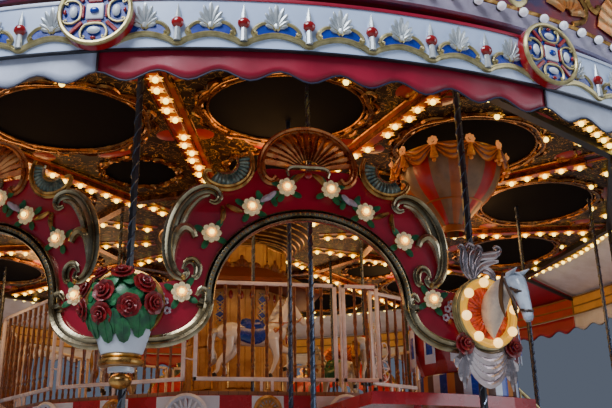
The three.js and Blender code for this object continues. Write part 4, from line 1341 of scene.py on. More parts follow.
def shield_plume():
    """Curled feathers over the shield, each of two strands side by side."""
    part = bmesh.new()
    for points in PLUME:
        join(part, scroll(points, 0.014, 0.03, 0.012, 0.035, fluted_section(3, 0.9, 0.55), 4, ORNAMENT_BACK))
        beside_it = [(0.86 * x, z - 0.022 - 0.06 * abs(x)) for x, z in points[1:-1]]
        join(part, scroll(beside_it, 0.008, 0.018, 0.006, 0.05, fluted_section(1, 0.9, 0.55), 4,
            ORNAMENT_BACK))
    return part


def shield_swag():
    """Nested folds between two knots, with pleated tails of uneven length."""
    back = [(-0.2, SWAG_HEAD), (-0.15, 2.52), (-0.08, 2.43), (0, 2.4), (0.08, 2.43), (0.15, 2.52),
        (0.2, SWAG_HEAD)]
    part = slab(back, ORNAMENT_BACK, ORNAMENT_BACK + 0.02)
    for i in range(5):
        reach, low = 0.2 - 0.012 * i, 2.4 + 0.058 * i
        side = (0.75 * reach, SWAG_HEAD - 0.66 * (SWAG_HEAD - low))
        fold = [(-reach, SWAG_HEAD), (-side[0], side[1]), (0, low), side, (reach, SWAG_HEAD)]
        join(part, scroll(fold, 0.012, 0.029, 0.012, 0.03 + 0.006 * i, fluted_section(1, 1.5, 0.5), 4,
            ORNAMENT_BACK))
    for hand in (-1, 1):
        for i, low in enumerate((2.52, 2.44, 2.36, 2.42, 2.52)):
            across = hand * (0.165 + 0.03 * i)
            tail = [(hand * 0.225, 2.69), (0.5 * (across + hand * 0.22), 2.6),
                (across, 2.5 if low < 2.5 else low + 0.05), (across + hand * 0.008, low)]
            path = smooth_path(upright(tail, ORNAMENT_BACK + 0.025), 3)
            tail_sizes = [0.014, 0.018, 0.022, 0.026, 0.029, 0.031, 0.03, 0.027, 0.02, 0.006]
            join(part, sweep(path, tail_sizes, fluted_section(1, 0.8, 0.8)))
    return part


def shield_globes():
    part = bmesh.new()
    for i in range(8):
        angle = radians(100 + 45 * i)
        centre = (0.24 * cos(angle), -ORNAMENT_BACK - 0.122, SHIELD_HEIGHT + 0.24 * sin(angle))
        join(part, ball(centre, 0.039, 14, 10))
    return part


class CAROUSEL_OT_shields(bpy.types.Operator):
    """Lit shields with a horse's head, plume and swag on the outer posts"""
    bl_idname = "carousel.shields"
    bl_label = "Horse shields"

    def execute(self, context):
        spots = [turn(azimuth + hand * BAY) for azimuth in arcade_azimuths() for hand in (-1, 1)]
        ring = turned([(0.276, 0.09), (0.276, 0.104), (0.262, 0.116), (0.246, 0.108), (0.23, 0.118),
            (0.214, 0.108), (0.208, 0.09), (0.208, 0.06)], 48)
        bmesh.ops.transform(ring, matrix=SHIELD_PLACE, verts=ring.verts)
        pleats = shell((0, SHIELD_HEIGHT), 0.05, 0.208, 0, tau, 26, 0.02, ORNAMENT_BACK + 0.055)
        knots = repeated(vase_rose(), [shift(hand * 0.235, -ORNAMENT_BACK - 0.05, SWAG_HEAD) for hand in (-1,
            1)])
        shields = [f"horse_shield_{side}_{hand}" for side in ("front", "back") for hand in ("left", "right")]
        silver = joined(shield_plume(), shield_swag())
        neck_paint = surface("cream neck paint", (0.66, 0.52, 0.4), roughness=0.3, coat=0.3,
            second=(0.4, 0.33, 0.3), patch=9.0)
        face_paint = surface("blue-grey face paint", (0.5, 0.56, 0.66), roughness=0.3, coat=0.3,
            second=(0.3, 0.35, 0.43), patch=9.0)
        for name, part, finishes, replaced in (
                ("shield_drums", shield_gilding(), [pale_gold()], shields),
                # Painted light: the ring glows with the light of its globes painted on.
                ("shield_rings", ring,
                    [glow("lit cream ring", (1.0, 0.5, 0.03), 0.6, body=(0.6, 0.27, 0.025))], ()),
                ("shield_pleats", pleats,
                    [surface("vermilion paint", (0.85, 0.09, 0.02), roughness=0.3, coat=0.3,
                    second=(0.36, 0.015, 0.008), patch=12.0)], ()),
                ("shield_horses", shield_horse(), [neck_paint, face_paint], ()),
                ("shield_tack", shield_tack(),
                    [surface("dark brown leather paint", (0.05, 0.02, 0.012), roughness=0.4)], ()),
                # Painted shade darkens the hollows of the plumes and the swag's folds.
                ("shield_plumes", silver,
                    [surface("lilac silver leaf", (0.66, 0.58, 0.6), roughness=0.22, metallic=0.9,
                    second=(0.42, 0.34, 0.34), patch=6.0, bump=0.05, hollow_shade=(0.05, 0.025, 0.02),
                    ridge=(0.46, 0.53))], ()),
                ("shield_roses", knots, [dark_rose()], ()),
                ("shield_globes", shield_globes(), [glow("shield globe", (1.0, 0.56, 0.12), 2.6)], ())):
            make_piece(name, repeated(part, spots), finishes, replaced)
        return {"FINISHED"}


# Crown boards

CROWN_FACE = CROWN_RADIUS - 0.03
FAN_HEIGHT = 5.3
GLOBE_HEIGHT = 5.235
CROWN_SOFFIT = 5.103


def crown_edge(azimuth):
    """Height of the scalloped top: one high hump in mid bay, lower ones beside it."""
    share = abs((azimuth / BAY + 0.5) % 1 - 0.5) * 2
    return CROWN_TOP - 0.035 - 0.2 * share - 0.05 * abs(sin(3 * pi * share))


def crown_wall():
    """The shaped boards all round, cut to the line of their scallops."""
    part = turned([(CROWN_FACE - 0.03, CROWN_BOTTOM), (CROWN_FACE, CROWN_BOTTOM), (CROWN_FACE, 5.27),
        (CROWN_FACE, CROWN_TOP), (CROWN_FACE - 0.03, CROWN_TOP), (CROWN_FACE - 0.03, CROWN_BOTTOM)],
        RING_SIDES)
    for vert in part.verts:
        if vert.co.z > 6:
            vert.co.z = crown_edge(atan2(vert.co.x, -vert.co.y))
    return part


def crown_line(points, radius, lift=0.0, section=None, steps=3):
    path = smooth_path(upright(points, CROWN_FACE + lift), steps)
    return sweep(path, radius, section or ROUND)


def crown_gilding():
    part = joined(
        crown_line([(0.02, 5.42), (0.3, 5.36), (0.42, 5.5), (0.36, 5.72), (0.5, 5.86), (0.7, 5.8),
            (0.74, 5.64), (0.64, 5.58), (0.58, 5.66)], 0.028, 0.012, fluted_section(2)),
        crown_line([(1.0, 5.34), (0.84, 5.42), (0.78, 5.56), (0.9, 5.7), (1.08, 5.76), (1.3, 5.72)], 0.024,
            0.012, fluted_section(2)),
        crown_line([(1.6, 5.3), (1.2, 5.31), (0.6, 5.31), (0.0, 5.31)], 0.02, 0.008, fluted_section(2)))
    rim = [(1.55 * (1 - i / 12), crown_edge(1.55 * (1 - i / 12) / CROWN_FACE) - 0.015) for i in range(13)]
    join(part, crown_line(rim, 0.024, 0.006, COARSE, 2))
    return mirrored(part)


def crown_fans():
    part = shell((0, FAN_HEIGHT), 0.1, 0.66, radians(12), radians(168), 13, 0.035, CROWN_FACE + 0.004)
    for hand in (-1, 1):
        join(part, shell((hand * 1.05, 5.42), 0.05, 0.24, 0.2, pi - 0.2, 7, 0.025, CROWN_FACE + 0.004))
    return part


def crown_medallions(grow, lift):
    """Domed ovals on the joints between the crown boards."""
    return ball((0, -CROWN_RADIUS + 0.03, 5.55), (0.13 * grow, 0.02 + lift, 0.19 * grow), 20, 8)


class CAROUSEL_OT_crown(bpy.types.Operator):
    """Painted boards over the ring with shells, medallions and globes"""
    bl_idname = "carousel.crown"
    bl_label = "Crown boards"

    def execute(self, context):
        bays = bay_places()
        joints = joint_places()
        count = sizes().globes
        every_globe = [turn((i + 0.5) * BAY / count) for i in range(BAYS * count)]
        make_piece("crown_wall", crown_wall(),
            [surface("deep red boards", (0.2, 0.012, 0.02), coat=0.3, second=(0.05, 0.03, 0.09), patch=3.0)],
            ["crown_boards"])
        strip = turned([(CROWN_FACE, 5.11), (CROWN_RADIUS - 0.002, 5.115), (CROWN_RADIUS - 0.002, 5.262),
            (CROWN_FACE, 5.267)], RING_SIDES)
        make_piece("crown_strip", strip,
            [surface("mauve grey enamel", (0.36, 0.32, 0.42), roughness=0.3, coat=0.3)])
        soffit = turned([(6.002, CROWN_SOFFIT), (CROWN_FACE, CROWN_SOFFIT)], RING_SIDES)
        make_piece("crown_soffit", soffit,
            [surface("dark red-brown boards", (0.07, 0.014, 0.012), roughness=0.4)])
        socket = rod((0, -CROWN_RADIUS + 0.002, GLOBE_HEIGHT), (0, -CROWN_RADIUS - 0.015, GLOBE_HEIGHT), 0.03,
            10)
        make_piece("crown_sockets", repeated(socket, every_globe), [dark_steel()])
        make_piece("crown_globes", repeated(ball((0, -CROWN_RADIUS - 0.038, GLOBE_HEIGHT), 0.038, 8, 6),
            every_globe), [globe_glass()])
        for name, part, paint, places in (
                ("crown_gilding", wrap(crown_gilding(), CROWN_FACE), old_gold(), bays),
                ("crown_fans", wrap(crown_fans(), CROWN_FACE),
                    surface("ribbed orange gilding", (0.62, 0.2, 0.04), roughness=0.3, metallic=0.5,
                    second=(0.5, 0.34, 0.16), patch=9.0), bays),
                ("crown_medallion_rims", crown_medallions(1.2, 0.0), pale_gold(), joints),
                ("crown_medallions", crown_medallions(1.0, 0.015), blue_enamel(), joints)):
            make_piece(name, repeated(part, places), [paint])
        return {"FINISHED"}


# Balloon car

BALLOON_LINE = [(0.11, 4.0), (0.115, 4.07), (0.15, 4.13), (0.2, 4.19), (0.28, 4.27), (0.36, 4.34),
    (0.42, 4.41), (0.46, 4.48), (0.49, 4.55), (0.505, 4.62), (0.52, 4.68), (0.528, 4.73), (0.52, 4.765),
    (0.38, 4.805), (0.2, 4.822), (0.0, 4.828)]
DRAPE_HEAD = 4.765
ROSETTES = 10
BASKET_PANELS = 12
CAR = "balloon_car"


def on_car(part):
    """Moves a part drawn round the upright axis to the balloon car."""
    bmesh.ops.translate(part, vec=BALLOON_CENTRE, verts=part.verts)
    return part


def gores():
    """The envelope's gores: full between their seams, tan, red, tan and ochre in turn."""
    count = sizes().gores
    part = turned(BALLOON_LINE, count * 6)
    for vert in part.verts:
        angle = atan2(vert.co.y, vert.co.x)
        fullness = 1 - 0.028 * (1 - abs(sin(count * angle / 2)))
        vert.co.x *= fullness
        vert.co.y *= fullness
    for face in part.faces:
        middle = face.calc_center_median()
        gore = int(atan2(middle.y, middle.x) / tau * count + count) % count
        face.material_index = (0, 1, 0, 2)[gore % 4]
    return on_car(part)


def balloon_swags():
    """A pleated drape that hangs in swags between the rosettes, with a drop under each rosette."""
    line = smooth_path([(0.5, 0, 0.0), (0.54, 0, 0.01), (0.556, 0, 0.05), (0.56, 0, 0.09), (0.556, 0, 0.13),
        (0.545, 0, 0.16)], 5)
    part = turned([(point.x, point.z) for point in line], 200)
    for vert in part.verts:
        angle = atan2(vert.co.x, -vert.co.y)
        share = abs(sin(ROSETTES * angle / 2))
        low = vert.co.z / 0.16
        fold = 1 + 0.026 * min(1, 2 * low) * cos((7 * low - 1.5 * share) * pi)
        vert.co = Vector((vert.co.x * fold, vert.co.y * fold, DRAPE_HEAD - low * (0.07 + 0.13 * share)))
    for place in rosette_places():
        drop = joined(
            turned([(0.0, -0.02), (0.026, -0.05), (0.03, -0.1), (0.045, -0.16), (0.0, -0.17)], 8),
            ball((0, 0, -0.19), 0.022, 8, 6))
        join(part, drop, place)
    return on_car(part)


def rosette_places():
    return [turn(tau * i / ROSETTES) @ shift(0, -0.556, DRAPE_HEAD) for i in range(ROSETTES)]


def balloon_rosettes():
    rosette = joined(flower(0.058, rings=2, tilt=0.5), ball((0, -0.03, 0), (0.02, 0.014, 0.02), 10, 6))
    part = repeated(rosette, rosette_places())
    return on_car(part)


def basket_panels(low, high, radius, width):
    part = bmesh.new()
    for i in range(BASKET_PANELS):
        panel = rounded(block((-width / 2, -radius - 0.004, low), (width / 2, -radius + 0.006, high)), 0.006,
            2)
        join(part, panel, turn(tau * i / BASKET_PANELS))
    return on_car(part)


class CAROUSEL_OT_balloon(bpy.types.Operator):
    """Striped balloon with its drape, rosettes and basket panels"""
    bl_idname = "carousel.balloon"
    bl_label = "Balloon car"

    def execute(self, context):
        ochre = surface("ochre paint", (0.42, 0.1, 0.01), roughness=0.36, coat=0.12, patch=6.0)
        pale = surface("tan paint", (0.26, 0.14, 0.06), roughness=0.36, coat=0.12, patch=6.0)
        red = surface("balloon red paint", (0.5, 0.01, 0.006), roughness=0.32, coat=0.15, patch=6.0)
        # Painted light: the rosettes glow to lift them out of shade; they are no lamps.
        petals = glow("lit peach petals", (1.0, 0.4, 0.1), 0.3, body=(0.85, 0.34, 0.1))
        # Painted shade darkens the hollows between the swag's pleats.
        gilt = surface("orange satin swags", (0.9, 0.33, 0.05), roughness=0.3, coat=0.2,
            second=(0.7, 0.2, 0.02), patch=18.0, hollow_shade=(0.16, 0.03, 0.005), ridge=(0.44, 0.52))
        make_piece("balloon_envelope", gores(), [pale, red, ochre], ["balloon"], CAR)
        hoops = joined(
            turned([(0.285, 4.27), (0.297, 4.28), (0.29, 4.293)], 48),
            turned([(0.11, 3.995), (0.13, 4.0), (0.134, 4.03), (0.13, 4.06), (0.115, 4.066)], 32))
        for name, part, paint in (
                ("balloon_hoops", on_car(hoops), ochre),
                ("balloon_swags", balloon_swags(), gilt),
                ("balloon_rosettes", balloon_rosettes(), petals),
                ("basket_white_panels", basket_panels(2.7, 3.05, 0.5, 0.12), white_gloss()),
                ("basket_blue_panels", basket_panels(2.78, 2.97, 0.505, 0.07), blue_enamel())):
            make_piece(name, part, [paint], body=CAR)
        return {"FINISHED"}


# Painted ceiling and its rows of lamps

OVAL_RADIUS = 4.2
OVAL_HALF = (0.8, 0.73)
INNER_OVAL_RADIUS = 2.75
INNER_OVAL_HALF = (0.42, 0.4)
ARM_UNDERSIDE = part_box("light_arms")[0].z
CARTOUCHES = [(0.0, 3.31, 0.2, 0.1), (0.78, 3.5, 0.15, 0.13), (-0.78, 3.5, 0.15, 0.13),
    (1.06, 4.75, 0.12, 0.16), (-1.06, 4.75, 0.12, 0.16), (0.0, 5.08, 0.26, 0.1)]
LAMP_START = 1.32
LAMP_ROW = 3.6
LAMP_GAP = 3.9


def downward(point):
    return Vector((0, 0, -1))


def overhead(points, radius, lift=0.0, section=COARSE, closed=False):
    """A bar under the ceiling through points of (across, distance from the axis)."""
    line = [Vector((x, -distance, CEILING - lift)) for x, distance in points]
    return sweep(line if closed else smooth_path(line, 3), radius, section, downward, closed)


def oval_line(half, distance, wave=0.0):
    line = []
    for i in range(48):
        angle = tau * i / 48
        swell = 1 + wave * abs(cos(4 * angle))
        line.append((swell * half[0] * cos(angle), distance + swell * half[1] * sin(angle)))
    return line


def oval_disc(half, distance, lift):
    return ball((0, -distance, CEILING), (half[0], half[1], lift), 48, 4)


def oval_scrolls(half, distance, size):
    """C-scrolls that leave the oval's frame in eight places."""
    part = bmesh.new()
    for i in range(8):
        angle = tau * (i + 0.5) / 8
        centre = Vector((1.06 * half[0] * cos(angle), -distance - 1.06 * half[1] * sin(angle), 0))
        for hand in (-1, 1):
            curl = [(0.0, 0.0), (hand * 0.6, 0.25), (hand * 1.1, 0.05), (hand * 1.05, -0.35),
                (hand * 0.7, -0.35), (hand * 0.68, -0.1)]
            line = [Vector((size * x, -size * y, CEILING - 0.012)) for x, y in curl]
            path = smooth_path(line, 2)
            facing_out = Matrix.Translation(centre) @ turn(pi / 2 - angle)
            join(part, sweep(path, taper(len(path), 0.01, 0.026, 0.01), round_section(5), downward),
                facing_out)
    return part


def ceiling_gilding():
    part = joined(
        overhead(oval_line(OVAL_HALF, OVAL_RADIUS, 0.05), 0.04, 0.01, fluted_section(3), closed=True),
        overhead(oval_line((0.95 * OVAL_HALF[0], 0.95 * OVAL_HALF[1]), OVAL_RADIUS), 0.014, 0.012,
            closed=True),
        oval_scrolls(OVAL_HALF, OVAL_RADIUS, 0.19),
        overhead(oval_line(INNER_OVAL_HALF, INNER_OVAL_RADIUS, 0.06), 0.026, 0.01, fluted_section(2),
            closed=True),
        oval_scrolls(INNER_OVAL_HALF, INNER_OVAL_RADIUS, 0.12))
    for hand in (-1, 1):
        edge = [(hand * (0.268 * distance - 0.13), distance) for distance in (2.2, 3.1, 4.2, 5.25)]
        join(part, overhead(edge, 0.014, 0.006))
        join(part, overhead([(hand * 0.95, 4.9), (hand * 1.13, 4.8), (hand * 1.12, 4.6), (hand * 1.0, 4.66)],
            0.016, 0.01))
    return part


def ceiling_cartouches():
    """Red shields with a raised middle between the ovals and the arms."""
    part = bmesh.new()
    for across, distance, width, length in CARTOUCHES:
        join(part, ball((across, -distance, CEILING), (width, length, 0.016), 16, 4))
    return part


def ceiling_strips():
    """Red boards beside and under each lamp arm."""
    part = bmesh.new()
    for hand in (-1, 1):
        low, high = sorted((hand * 0.058, hand * 0.125))
        join(part, block((low, -5.3, CEILING - 0.008), (high, -1.2, CEILING - 0.001)))
    join(part, rounded(block((-0.052, -4.99, ARM_UNDERSIDE - 0.006), (0.052, -2.02, ARM_UNDERSIDE + 0.004)),
        0.003, 1))
    return part


def arm_lamp_spots():
    """One row of lamps, a little to the left and right in turn, with a gap where a beam crosses."""
    spots = []
    pitch = sizes().lamp_pitch
    for i in range(round(LAMP_ROW / pitch) + 1):
        distance = LAMP_START + pitch * i
        height = ARM_UNDERSIDE if distance > 2.05 else CEILING - 0.001
        if abs(distance - LAMP_GAP) > 0.09:
            spots.append(shift(0.018 * (-1) ** i, -distance, height))
    return spots


def ceiling_lamp_spots():
    """Lamps straight on the ceiling: four round the oval of every bay and a row along the rim."""
    count = sizes().rim_lamps
    spots = [Matrix.Translation(at(5.34, (i + 0.5 - count / 2) * BAY / count, CEILING)) for i in range(count)]
    for distance, azimuth in ((4.9, 5), (5.12, 9)):
        for hand in (-1, 1):
            spots.append(Matrix.Translation(at(distance, hand * radians(azimuth), CEILING)))
    return spots


def lamp_flower():
    """A cupped star of seven petals round a lamp's neck, facing down."""
    part = bmesh.new()
    bmesh.ops.create_cone(part, cap_ends=False, segments=14, radius1=0.082, radius2=0.02, depth=0.026,
        matrix=shift(0, 0, -0.015))
    for i, vert in enumerate(sorted(part.verts, key=lambda v: (v.co.z > -0.01, atan2(v.co.y, v.co.x)))):
        if vert.co.z < -0.01 and i % 2:
            vert.co = Vector((vert.co.x * 0.62, vert.co.y * 0.62, vert.co.z))
    return part


def lamp_bulb(radius):
    return ball((0, 0, -0.036), radius, 8, 5)


class CAROUSEL_OT_ceiling(bpy.types.Operator):
    """Dark ovals in gilt frames and rows of lamps"""
    bl_idname = "carousel.ceiling"
    bl_label = "Ceiling"

    def execute(self, context):
        bays = bay_places()
        joints = joint_places()
        discs = joined(
            oval_disc(OVAL_HALF, OVAL_RADIUS, 0.006),
            oval_disc(INNER_OVAL_HALF, INNER_OVAL_RADIUS, 0.006))
        arm_spots, roof_spots = arm_lamp_spots(), ceiling_lamp_spots()
        flowers, bulbs = repeated(lamp_flower(), arm_spots), repeated(lamp_bulb(0.029), arm_spots)
        rim_flowers, rim_bulbs = repeated(lamp_flower(), roof_spots), repeated(lamp_bulb(0.03), roof_spots)
        red = surface("ceiling red paint", (0.34, 0.016, 0.012), roughness=0.3, coat=0.3, patch=5.0)
        for name, part, paint, places in (
                ("ceiling_ovals", discs, near_black(), bays),
                ("ceiling_gilding", ceiling_gilding(), shaded_ceiling_gilt(), bays),
                ("ceiling_cartouches", ceiling_cartouches(), red, bays),
                ("ceiling_strips", ceiling_strips(), red, joints),
                # Painted light: the sockets round the arm lamps glow with the lamps' light painted on.
                ("arm_flowers", flowers, glow("lit orange sockets", (1.0, 0.42, 0.0), 1.3,
                    body=(0.9, 0.45, 0.04)), joints),
                ("arm_bulbs", bulbs, lamp_glass(), joints),
                # Painted light: the sockets round the rim lamps glow with the lamps' light painted on.
                ("rim_flowers", rim_flowers, glow("lit gilt sockets", (1.0, 0.45, 0.02), 0.8,
                    body=(0.8, 0.45, 0.1)), bays),
                ("rim_bulbs", rim_bulbs, lamp_glass(), bays)):
            make_piece(name, repeated(part, places), [paint])
        return {"FINISHED"}


# Painted shade: gold leaf darkened for the dim ceiling and the lamp arms; its bright glints come from the metal
# itself.
def shaded_ceiling_gilt():
    return surface("dusky ceiling gilt", (0.34, 0.14, 0.03), roughness=0.24, metallic=0.9,
        second=(0.1, 0.035, 0.01), patch=9.0, hollow_shade=(0.02, 0.006, 0.003), ridge=(0.44, 0.53))


# Dark paint of the ceiling's ovals, pushed to near black as painted shade of the dim ceiling.
def near_black():
    material = surface("near-black ground", (0.002, 0.002, 0.004), roughness=0.9, patch=3.0, bump=0.02)
    _, _, shader = nodes_of(material)
    shader.inputs["Specular IOR Level"].default_value = 0.08
    return material


def filigree():
    """Gold tracery on a dark brown ground, darkened further as painted shade of the ceiling: the level lines of
    a noise pattern.
    """
    material = surface("gold filigree", (0.02, 0.008, 0.005), roughness=0.4, second=(0.012, 0.005, 0.004),
        patch=3.0)
    tree, link, shader = nodes_of(material)
    place = node(tree, "ShaderNodeTexCoord").outputs["Object"]
    lines = node(tree, "ShaderNodeTexNoise", Scale=9.0, Detail=2.0, Distortion=1.4)
    link(place, lines.inputs["Vector"])
    band = node(tree, "ShaderNodeValToRGB")
    for element, position in zip(band.color_ramp.elements, (0.485, 0.515)):
        element.position = position
        element.color = (0.014, 0.006, 0.004, 1)
    middle = band.color_ramp.elements.new(0.5)
    middle.color = (0.85, 0.45, 0.1, 1)
    link(lines.outputs["Fac"], band.inputs["Fac"])
    link(band.outputs["Color"], shader.inputs["Base Color"])
    shader.inputs["Specular IOR Level"].default_value = 0.2
    return material


# Fence, gate, deck fascia and the balloon's pedestal

FENCE_APOTHEM = FENCE_CORNER * cos(HALF_BAY)
FENCE_FOOT, FENCE_HEAD = 2.725, 3.755
FRAME_BAR = 0.04
PANEL_HALF = 0.745
GATEWAY_END = 0.432 - FENCE_CORNER * sin(HALF_BAY)
GATE_HINGE = at(FENCE_CORNER, HALF_BAY)
GATE_ENDS = (0.0133, 0.42)
HOOK_HEIGHTS = (2.94, 3.58)
DECK_CORNER = 3.108
DECK_FACE = DECK_CORNER * cos(HALF_BAY)
DECK_HALF_SIDE = DECK_CORNER * sin(HALF_BAY)
FASCIA_FOOT, FASCIA_HEAD = 2.325, 2.58
RELIEF_HEIGHT, FAN_FOOT = 2.44, 2.37


def fence_frame(left, right, distance):
    """The painted frame of one panel, drawn at the front."""
    part = bmesh.new()
    inner, outer = distance - 0.014, distance + 0.015
    for low, high in (
            ((left, FENCE_FOOT), (right, FENCE_FOOT + FRAME_BAR)),
            ((left, FENCE_HEAD - FRAME_BAR), (right, FENCE_HEAD)),
            ((left, FENCE_FOOT), (left + FRAME_BAR, FENCE_HEAD)),
            ((right - FRAME_BAR, FENCE_FOOT), (right, FENCE_HEAD))):
        join(part, rounded(block((low[0], -outer, low[1]), (high[0], -inner, high[1])), 0.005))
    return part


def baluster():
    """A turned and painted baluster about the upright axis."""
    foot, head = FENCE_FOOT + FRAME_BAR, FENCE_HEAD - FRAME_BAR
    middle = (foot + head) / 2
    half = [(0.019, 0.475), (0.019, 0.39), (0.011, 0.375), (0.021, 0.35), (0.012, 0.325), (0.016, 0.22),
        (0.022, 0.1), (0.013, 0.05), (0.021, 0.0)]
    profile = [(radius, middle + rise) for radius, rise in half]
    profile += [(radius, middle - rise) for radius, rise in reversed(half[:-1])]
    return turned(profile, 6)


def baluster_spots(left, right, distance):
    count = round((right - left) / sizes().baluster_pitch)
    pitch = (right - left - FRAME_BAR) / count
    return [shift(left + FRAME_BAR / 2 + pitch * (i + 1), -distance, 0) for i in range(count - 1)]


def fence_panels():
    for bay in range(BAYS):
        left = GATEWAY_END if bay == 1 else -PANEL_HALF
        yield turn(bay * BAY), left, PANEL_HALF


def fence_hook():
    """A hook that holds two panels together at a corner."""
    line = [(-0.05, 0.0), (-0.02, 0.006), (0.02, -0.006), (0.045, 0.0), (0.05, 0.02)]
    return sweep(smooth_path(upright(line, FENCE_CORNER - 0.004), 3), 0.008, COARSE)


def filigree_star():
    """An openwork circle with a star, low in the short panel by the gateway."""
    part = bmesh.new()
    centre, radius = (-0.19, 2.885), 0.115
    angles = [tau * i / 24 for i in range(24)]
    circle = [(centre[0] + radius * cos(a), centre[1] + radius * sin(a)) for a in angles]
    join(part, sweep(upright(circle, FENCE_APOTHEM), 0.009, COARSE, closed=True))
    for i in range(5):
        ends = [tau * j / 5 + pi / 2 for j in (i, i + 2)]
        tips = [(centre[0] + radius * cos(a), -FENCE_APOTHEM, centre[1] + radius * sin(a)) for a in ends]
        join(part, rod(tips[0], tips[1], 0.006, 6))
    for hand in (-1, 1):
        curl = [(0.03, 0.12), (0.1, 0.2), (0.08, 0.3), (0.02, 0.3), (0.03, 0.25)]
        curl = [(centre[0] + hand * x, centre[1] + z) for x, z in curl]
        join(part, sweep(smooth_path(upright(curl, FENCE_APOTHEM), 3), 0.008, COARSE))
    return part


class CAROUSEL_OT_fence(bpy.types.Operator):
    """Turned balusters in painted frames round the upper deck"""
    bl_idname = "carousel.fence"
    bl_label = "Fence and gate"

    def execute(self, context):
        frames, posts, hooks = (bmesh.new() for _ in range(3))
        for place, left, right in fence_panels():
            join(frames, fence_frame(left, right, FENCE_APOTHEM), place)
            for foot in (-0.055, 0.055):
                stub = rounded(block((foot - 0.014, -FENCE_APOTHEM - 0.014, DECK_TOP + 0.001),
                    (foot + 0.014, -FENCE_APOTHEM + 0.014, 2.73)), 0.003)
                join(frames, stub, place)
            for spot in baluster_spots(left, right, FENCE_APOTHEM):
                join(posts, baluster(), place @ spot)
        for azimuth in joint_azimuths():
            for height in HOOK_HEIGHTS:
                if azimuth > HALF_BAY:
                    join(hooks, fence_hook(), turn(azimuth) @ shift(0, 0, height))
        hinge_post = GATE_HINGE + Vector((0, 0, DECK_TOP + 0.001))
        join(hooks, rod(hinge_post, GATE_HINGE + Vector((0, 0, FENCE_HEAD)), 0.0128, 12))
        join(hooks, filigree_star(), turn(BAY))
        pink = surface("pink-white gloss", (0.82, 0.72, 0.7), roughness=0.25, coat=0.3, patch=3.0)
        brown = surface("brown and orange balusters", (0.1, 0.03, 0.01), roughness=0.34, coat=0.1,
            second=(0.24, 0.07, 0.02), patch=26.0)
        make_piece("fence_frames", frames, [pink], ["deck_fence"])
        make_piece("fence_balusters", posts, [brown])
        make_piece("fence_hooks", hooks, [pink])
        gate = fence_frame(*GATE_ENDS, 0.0)
        gate_posts = repeated(baluster(), baluster_spots(*GATE_ENDS, 0.0))
        for name, part, paint, replaced in (
                ("gate_frame", gate, pink, ["deck_gate"]),
                ("gate_balusters", gate_posts, brown, ())):
            bmesh.ops.translate(part, vec=GATE_HINGE, verts=part.verts)
            make_piece(name, part, [paint], replaced, "gate")
        return {"FINISHED"}


def fan(radius, blades):
    """A half-round of white blades with slots between them, on the upright plane at the origin."""
    part = bmesh.new()
    for i in range(blades):
        angle = pi * (i + 0.5) / blades
        centre = (0.56 * radius * cos(angle), -0.008, 0.56 * radius * sin(angle))
        join(part, leaf(0.72 * radius, 1.5 * radius / blades, angle, centre, lift=0.012))
    rim = [(radius * cos(pi * i / 16), radius * sin(pi * i / 16)) for i in range(17)]
    join(part, sweep(upright(rim, 0.006), 0.026, fluted_section(2)))
    join(part, ball((0, -0.006, 0.01), (0.05, 0.012, 0.05), 14, 6))
    return part


class CAROUSEL_OT_deck_fascia(bpy.types.Operator):
    """Red and white panels with fans along the upper deck's edge"""
    bl_idname = "carousel.deck_fascia"
    bl_label = "Deck fascia"

    def execute(self, context):
        bays = bay_places()
        board = slab([(-DECK_HALF_SIDE, FASCIA_FOOT), (DECK_HALF_SIDE, FASCIA_FOOT),
            (DECK_HALF_SIDE, FASCIA_HEAD), (-DECK_HALF_SIDE, FASCIA_HEAD)], DECK_FACE - 0.026, DECK_FACE)
        white = bmesh.new()
        for low, high in ((-0.79, -0.48), (-0.16, 0.16), (0.48, 0.79)):
            join(white, rounded(block((low, -DECK_FACE - 0.004, FASCIA_FOOT + 0.006),
                (high, -DECK_FACE + 0.004, FASCIA_HEAD - 0.006)), 0.002, 1))
        ochre = repeated(fan(0.115, 7), [shift(0, -DECK_FACE - 0.004, RELIEF_HEIGHT)])
        fans = repeated(fan(0.2, 9), [shift(0, -DECK_CORNER - 0.004, FAN_FOOT)])
        joints = joint_places()
        ochre_paint = surface("ochre relief", (0.5, 0.26, 0.06), coat=0.2, second=(0.3, 0.12, 0.03),
            patch=20.0)
        for name, part, paint, places, replaced in (
                ("deck_fascia_boards", board, deck_red(), bays, ["deck_fascia"]),
                ("deck_fascia_panels", white, white_gloss(), bays, ()),
                ("deck_fascia_reliefs", ochre, ochre_paint, bays, ()),
                ("deck_fascia_fans", fans, white_gloss(), joints, ())):
            make_piece(name, repeated(part, places), [paint], replaced)
        return {"FINISHED"}


class CAROUSEL_OT_pedestal(bpy.types.Operator):
    """Upright painted stripes round the balloon car's pedestal"""
    bl_idname = "carousel.pedestal"
    bl_label = "Balloon pedestal"

    def execute(self, context):
        stripes = 40
        drum = turned([(0.44, 2.402), (0.45, 2.41), (0.45, 2.6), (0.44, 2.612)], stripes)
        for face in drum.faces:
            middle = face.calc_center_median()
            face.material_index = int(atan2(middle.y, middle.x) / tau * stripes + stripes) % 4
        make_piece("pedestal_stripes", on_car(drum),
            [blue_enamel(), surface("orange stripe", (0.6, 0.2, 0.03)),
            surface("brown stripe", (0.12, 0.04, 0.02)), white_gloss()])
        return {"FINISHED"}


# Centre housing

HOUSING_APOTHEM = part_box("upper_housing")[1].x
HOUSING_SIDES = 8
BOARDS_FOOT, BOARDS_HEAD = 2.64, 4.88
SOFFIT_INNER, SOFFIT_OUTER = 1.05, 1.745


def housing_places():
    return [turn(tau * i / HOUSING_SIDES) for i in range(HOUSING_SIDES)]


def housing_frame(half, foot, head, distance, bar=0.022):
    line = [(-half, foot), (half, foot), (half, head), (-half, head)]
    return sweep(upright(line, distance), bar, [(-1, -0.4), (-1, 0.3), (0, 0.7), (1, 0.3), (1, -0.4)],
        closed=True)


